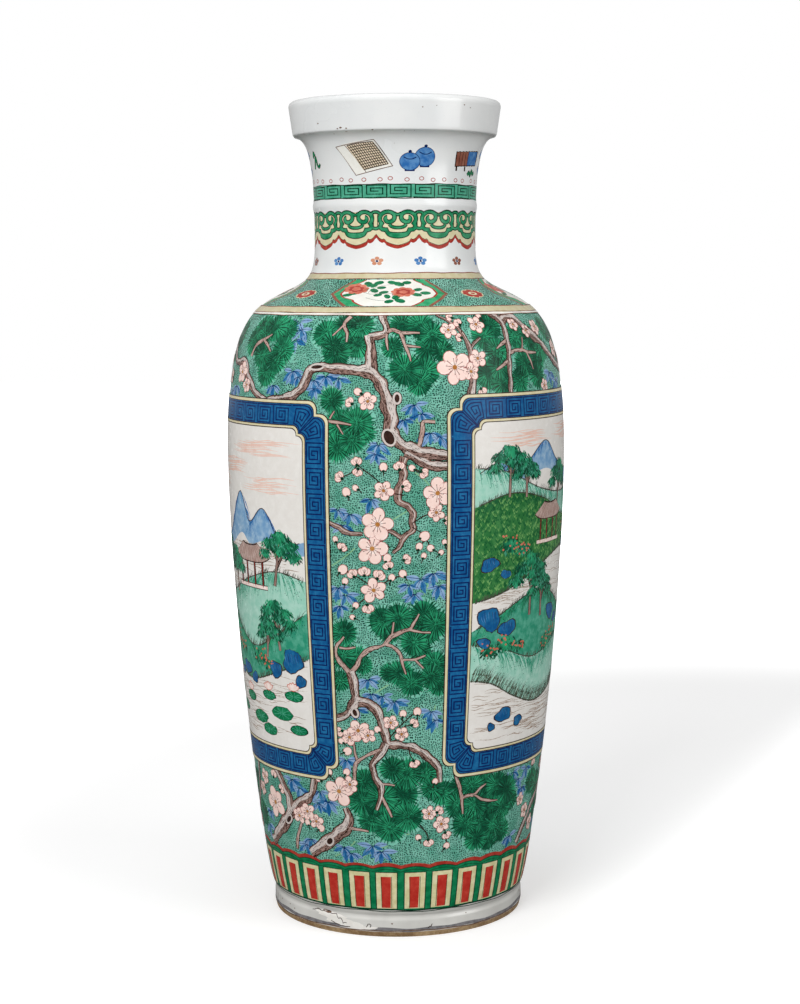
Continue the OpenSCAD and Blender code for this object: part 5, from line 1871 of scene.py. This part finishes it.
def lotus(picture, x, y, size, layer):
    """Lotus: oval leaves with dark edges and spokes, and pointed pink flowers on some of them."""
    x, y, size = columns(x, y, size)
    t = np.linspace(0, 2 * np.pi, 18, endpoint=False)
    rough = 1 + 0.04 * rng.standard_normal((len(x), 18))
    shape = rough * np.cos(t), 0.45 * rough * np.sin(t)
    for paint, grow, above in (("leaves", 0.4, 0.0), ("lotus", 0.0, 0.4)):
        picture.blobs(paint, x, y, *((size + grow) * v for v in shape), layer + above,
                      rings=(1.0, 0.88, 0.5))
    s = np.linspace(0.1, 0.9, 3)
    for turn in np.arange(9) * np.pi / 4.5:
        side, up = x + size * s * np.cos(turn), y + size * 0.45 * s * np.sin(turn)
        picture.strokes("light_leaves", side, up, 0.36, layer + 1.2)
    for tilt in (-56, -28, 28, 56, 0):
        side, up = turned_by(2.3 * np.cos(t), 1.1 * np.sin(t), 90 - tilt)
        spot = x[::2] + 0.04 * tilt, y[::2] + 0.55 * size[::2] + 2.0 - 0.012 * abs(tilt)
        for paint, grow, above in (("bloom", 1.16, 1.0), ("petals", 1.0, 1.4)):
            picture.blobs(paint, *spot, grow * side, grow * up, layer + above - 0.002 * abs(tilt))


def streak_clouds(picture, spots):
    """Banks of fine level streaks, thin at both ends: places and lengths."""
    t = np.linspace(-0.5, 0.5, 22)
    rows = 14
    for x, y, length in spots:
        reach = length * rng.uniform(0.3, 1.0, (rows, 1)) * t
        picture.strokes("clouds", x + reach + rng.uniform(-10, 10, (rows, 1)),
                        y + 0.62 * np.arange(rows)[:, None] + 0.4 * np.sin(7 * t),
                        0.1 + rng.uniform(0.3, 0.75, (rows, 1)) * (1 - 4 * t**2), SKY)


def sky(picture, clouds, peak_points, mist, depths):
    """Field, clouds, and blue peaks that fade towards a level of mist. Returns the peaks' crest."""
    picture.field()
    streak_clouds(picture, clouds)
    peaks = picture.crest(peak_points)
    picture.ground("peaks", peaks, 0.35 * peaks + 0.65 * mist, SKY)
    creases(picture, "blue_lines", peaks, depths[0], 300, SKY + 0.3, 0.6)
    creases(picture, "rocks", peaks, depths[1], 130, SKY + 0.5, 0.4)
    return peaks


def land(picture, top, base, colour, shade, depth, layer):
    """A stretch of land: its wash, creases of a darker wash down from its crest, and specks under it."""
    picture.ground(colour, top, base, layer)
    creases(picture, shade, top, depth, 320, layer + 0.3, 0.9)
    specks(picture, top, 0.7 * depth, layer + 0.4)


def crest_lines(picture, *lines):
    """Dark outlines along drawn lines, short of the frame."""
    for line in lines:
        picture.strokes("lines", picture.x[None, 2:-2], line[None, 2:-2], 0.5, FRONT)


def scenery(picture, houses, tree_places, rock_places, bushes, house_layer, bush_layer):
    """Pavilions, trees, bushes, and boulders in three layers so that neighbours keep their outlines."""
    for house in houses:
        pavilion(picture, *house, house_layer)
    trees(picture, *np.transpose(tree_places), FRONT - 0.3)
    for group in range(3):
        rocks(picture, *np.transpose(rock_places[group::3]), FRONT - 0.2 + 0.35 * group)
    shrubs(picture, *np.transpose(bushes), bush_layer)


def west_picture():
    """Lake view: streaked sky, blue peaks in mist, pavilions and trees on celadon hills, lotus water."""
    picture = Picture("west")
    clouds = [(-72, 160, 44), (-38, 148, 56), (-2, 162, 50), (34, 152, 46), (66, 163, 50), (74, 143, 40),
              (-66, 138, 40), (8, 142, 42)]
    peaks = sky(picture, clouds, [(-100, 116), (-88, 122), (-72, 146), (-58, 128), (-44, 136), (-26, 118),
                                  (-6, 112), (14, 114), (30, 122), (46, 142), (56, 126), (70, 134),
                                  (84, 116), (100, 118)], 106, (11, 8))
    celadon = picture.crest([(-100, 108), (-76, 104), (-44, 88), (-10, 80), (24, 84), (52, 94), (78, 100),
                             (100, 96)])
    hills = picture.crest([(-100, 54), (-70, 58), (-40, 70), (-8, 77), (22, 70), (52, 56), (78, 66),
                           (100, 80)])
    shore = picture.crest([(-100, 34), (-66, 42), (-30, 52), (4, 46), (40, 36), (70, 42), (100, 54)])
    land(picture, celadon, np.minimum(hills, celadon) - 4, "celadon", "hills", 16, FAR)
    land(picture, hills, shore, "hills", "pads", 12, NEAR)
    flat = 0 * hills
    ripples(picture, flat + 114, celadon + 2, 170, SKY + 0.4, (10, 40))
    ripples(picture, shore - 2, flat + 3, 260, SKY)
    crest_lines(picture, peaks, celadon, hills, shore)
    for blades in ((celadon, 3.4, 260), (hills, 4.6, 380), (shore, 5.0, 420)):
        grass(picture, *blades)
    scenery(picture, [(55.0, 90.0, 24.0), (-26.0, 78.0, 24.0)],
            [(-76, 97, 30), (-63, 92, 22), (-50, 87, 18), (-14, 74, 22), (20, 79, 34), (34, 84, 24),
             (77, 92, 28), (78, 56, 26), (66, 51, 20), (-50, 58, 30), (-38, 62, 22)],
            [(-70, 45, 7.5), (-57, 40, 5), (-80, 38, 4.5), (-3, 51, 7), (9, 45, 4.5), (38, 41, 5.5),
             (49, 37, 4), (87, 51, 8), (73, 45, 5.5), (92, 40, 4), (28, 38, 3.2)],
            [(-88, 48, 6), (-24, 58, 7), (-14, 62, 5), (24, 56, 6), (58, 50, 7), (66, 47, 5),
             (34, 52, 5)], FRONT - 0.4, FRONT)
    lotus(picture, *np.transpose([
        (-80, 24, 8), (-68, 17, 7), (-54, 27, 7), (-34, 34, 6), (-22, 24, 8), (-8, 33, 6), (12, 26, 8),
        (24, 17, 7), (40, 25, 6.5), (52, 15, 8), (64, 29, 6), (75, 20, 8.5), (86, 31, 6.5), (62, 9, 7),
        (-50, 11, 7), (88, 12, 6)]), NEAR)


def east_picture():
    """River meadow: far peaks, celadon hills with trees, a green meadow, a stream, and a grassy bank."""
    picture = Picture("east")
    clouds = [(-60, 166, 46), (-14, 168, 50), (30, 164, 44), (70, 168, 36)]
    peaks = sky(picture, clouds, [(-100, 150), (-84, 158), (-68, 154), (-46, 168), (-30, 156), (-6, 150),
                                  (24, 160), (44, 172), (58, 158), (80, 163), (100, 152)], 144, (10, 7))
    celadon = picture.crest([(-100, 156), (-78, 153), (-50, 142), (-18, 138), (16, 144), (50, 152),
                             (80, 146), (100, 138)])
    meadow = picture.crest([(-100, 134), (-74, 141), (-46, 136), (-16, 124), (18, 118), (52, 128),
                            (80, 138), (100, 136)])
    river = picture.crest([(-100, 82), (-76, 88), (-46, 100), (-14, 106), (22, 98), (56, 84), (100, 80)])
    land(picture, celadon, meadow - 4, "celadon", "hills", 14, FAR)
    land(picture, meadow, river, "meadow", "tufts", 9, NEAR)
    tufts(picture, "tufts", meadow, river, 2300, 1.9, FRONT)
    tufts(picture, "sprigs", meadow, river, 1300, 1.5, FRONT + 0.2)
    hills = picture.crest([(-100, 66), (-82, 74), (-58, 84), (-34, 83), (-6, 70), (26, 62), (60, 70),
                           (84, 72), (100, 64)])
    bank = picture.crest([(-100, 60), (-76, 55), (-50, 48), (-18, 54), (14, 58), (46, 50), (76, 44),
                          (100, 52)])
    shore = picture.crest([(-100, 40), (-84, 37), (-66, 28), (-44, 22), (-14, 27), (20, 37), (56, 30),
                           (80, 22), (100, 28)])
    land(picture, hills, np.minimum(bank, hills) - 4, "hills", "pads", 11, FAR)
    land(picture, bank, shore, "celadon", "hills", 14, NEAR)
    ripples(picture, river - 1, hills, 150, SKY, (8, 30))
    ripples(picture, shore - 1, 0 * hills + 3, 230, SKY)
    crest_lines(picture, peaks, celadon, meadow, river, hills, bank, shore)
    for blades in ((celadon, 3.0, 240, 0.4), (meadow, 3.0, 420, 0.2), (river, 3.4, 420, 0.2),
                   (hills, 3.6, 260, 0.5), (bank, 3.4, 240, 0.5), (shore, 8.0, 800, 0.9),
                   (shore + 4, 6.0, 400, 0.9)):
        grass(picture, *blades)
    scenery(picture, [(-38.0, 112.0, 22.0), (62.0, 98.0, 24.0)], [
        (-76, 139, 26), (-63, 138, 20), (-28, 128, 26), (20, 134, 34), (34, 132, 26), (48, 132, 20),
        (77, 132, 28), (-56, 72, 32), (-44, 70, 24), (62, 58, 34), (76, 58, 24)], [
        (-87, 73, 8), (-74, 67, 6), (-90, 60, 4), (-30, 71, 6), (-19, 66, 4), (8, 67, 7), (20, 61, 4.5),
        (88, 72, 7), (-73, 18, 5.5), (-60, 13, 3.6), (-82, 12, 2.6), (14, 22, 6), (28, 16, 4), (74, 14, 5),
        (-88, 103, 5.5), (-77, 97, 3.6), (-6, 109, 5), (5, 104, 3.4), (88, 98, 5)], [
        (-86, 55, 6), (-74, 58, 7), (-64, 56, 5), (-34, 54, 7), (-24, 58, 5), (36, 58, 7), (46, 55, 5.5),
        (90, 54, 6), (-74, 112, 7), (-64, 109, 5), (-8, 116, 6), (34, 104, 7), (44, 100, 5)],
        FRONT + 0.1, FRONT + 0.2)


frames()
west_picture()
east_picture()


for paint in Enamel.made:
    paint.piece()


# Camera, lights and floor

IMAGE_H = 1004                # pixels
FOCAL_PX = 2002.0
EYE = (0.0, -1.144, 0.3607)
PITCH_DOWN = np.radians(6.33)
YAW_RIGHT = 4.7 / FOCAL_PX
ROLL = 0.0044
# Lamps: place, point that they face, size, power, and whether the glaze shows their reflection
LAMPS = {
    "key_left": ((-0.98, -1.82, 1.15), (0, 0, 0.25), (1.1, 1.5), 35.0, False),
    "fill_right": ((1.8, -1.0, 0.75), (0, 0, 0.25), (1.2, 1.5), 18.0, True),
    "top": ((-0.3, -0.2, 1.9), (0, 0, 0.3), (1.2, 1.2), 5.5, True),
}
WORLD_LIGHT = 0.42
FLOOR_HALF, FLOOR_STEPS = 6.0, 32
FLOOR_DROP = 0.00005          # below the standing edge
FLOOR_GREY = (0.25, 0.86)     # for light thrown back at the vase, and as seen
FLOOR_GLOW = 2.6              # what the floor adds for the eye where it fades to white
FLOOR_KEEP = 0.15             # its share there near the shadow
SHADOW_SPOT = (0.25, 0.15, 0.0)
SHADOW_TURN = np.radians(24)  # the shadow's way, from straight back to the right
WHITE = (1, 1, 1, 1)


def add_camera():
    """Camera at the photograph's viewing angle, from the focal length in pixels."""
    camera = bpy.data.cameras.new("camera")
    camera.sensor_fit = "VERTICAL"
    camera.sensor_height = 36.0
    camera.lens = FOCAL_PX / IMAGE_H * camera.sensor_height
    eye = bpy.data.objects.new("camera", camera)
    eye.location = EYE
    eye.rotation_euler = (np.pi / 2 - PITCH_DOWN, ROLL, -YAW_RIGHT)
    bpy.context.scene.collection.objects.link(eye)
    bpy.context.scene.camera = eye


def add_softbox(name, spot, aim, size, power, mirrored):
    """Rectangular lamp at a spot, turned to face a point."""
    lamp = bpy.data.lights.new(name, "AREA")
    lamp.shape = "RECTANGLE"
    lamp.size, lamp.size_y = size
    lamp.energy = power
    light = bpy.data.objects.new(name, lamp)
    light.location = spot
    direction = Vector(np.array(aim) - np.array(spot))
    light.rotation_euler = direction.to_track_quat("-Z", "Y").to_euler()
    light.visible_glossy = mirrored
    bpy.context.scene.collection.objects.link(light)


def add_world():
    """Soft white surroundings; seen directly they are plain white."""
    world = bpy.data.worlds.new("studio")
    bpy.context.scene.world = world
    world.use_nodes = True
    tree = world.node_tree
    direct = node(tree, "ShaderNodeLightPath").outputs["Is Camera Ray"]
    level = ranged(tree, direct, 0.0, 1.0, WORLD_LIGHT, 1.0)
    feed(tree, tree.nodes["Background"], {"Strength": level, "Color": WHITE})


def floor_finish():
    """Pale grey that turns white for the eye away from the shadow: past a distance from the shadow's spot,
    or to the side of the shadow's way."""
    material, tree, shader = new_material("pale_floor")
    direct = node(tree, "ShaderNodeLightPath").outputs["Is Camera Ray"]
    feed(tree, shader, {"Base Color": ranged(tree, direct, 0.0, 1.0, *FLOOR_GREY), "Roughness": 0.9,
                        "Specular IOR Level": 0.0})
    coords = node(tree, "ShaderNodeTexCoord").outputs["Object"]
    white = node(tree, "ShaderNodeEmission", {"Color": WHITE, "Strength": FLOOR_GLOW})
    sideways = (np.cos(SHADOW_TURN), -np.sin(SHADOW_TURN), 0.0)
    far, aside = (node(tree, "ShaderNodeVectorMath", {0: coords, 1: given}, operation=kind).outputs["Value"]
                  for given, kind in ((SHADOW_SPOT, "DISTANCE"), (sideways, "DOT_PRODUCT")))
    keep = math_node(tree, "MAXIMUM", ranged(tree, far, 0.45, 1.1, FLOOR_KEEP, 1.0),
                     ranged(tree, aside, 0.08, 0.34, FLOOR_KEEP, 1.0))
    blend = math_node(tree, "MULTIPLY", keep, direct)
    mixed = node(tree, "ShaderNodeMixShader", {0: blend, 1: shader.outputs[0], 2: white.outputs[0]})
    feed(tree, tree.nodes["Material Output"], {"Surface": mixed.outputs[0]})
    return material


def add_floor():
    """Level floor: a square grid just under the standing edge."""
    side = np.linspace(-FLOOR_HALF, FLOOR_HALF, FLOOR_STEPS + 1)
    x, y = np.meshgrid(side, side)
    points = np.stack([x, y, 0 * x - FLOOR_DROP], -1).reshape(-1, 3)
    row = len(side)
    i = (np.arange(FLOOR_STEPS)[:, None] * row + np.arange(FLOOR_STEPS)).ravel()
    mesh = bpy.data.meshes.new("floor")
    mesh.from_pydata(points, [], np.stack([i, i + 1, i + row + 1, i + row], 1).tolist())
    mesh.materials.append(floor_finish())
    floor = bpy.data.objects.new("floor", mesh)
    bpy.context.scene.collection.objects.link(floor)


add_camera()
for lamp_name, lamp_setting in LAMPS.items():
    add_softbox(lamp_name, *lamp_setting)
add_world()
add_floor()
bpy.context.scene.view_settings.view_transform = "Standard"
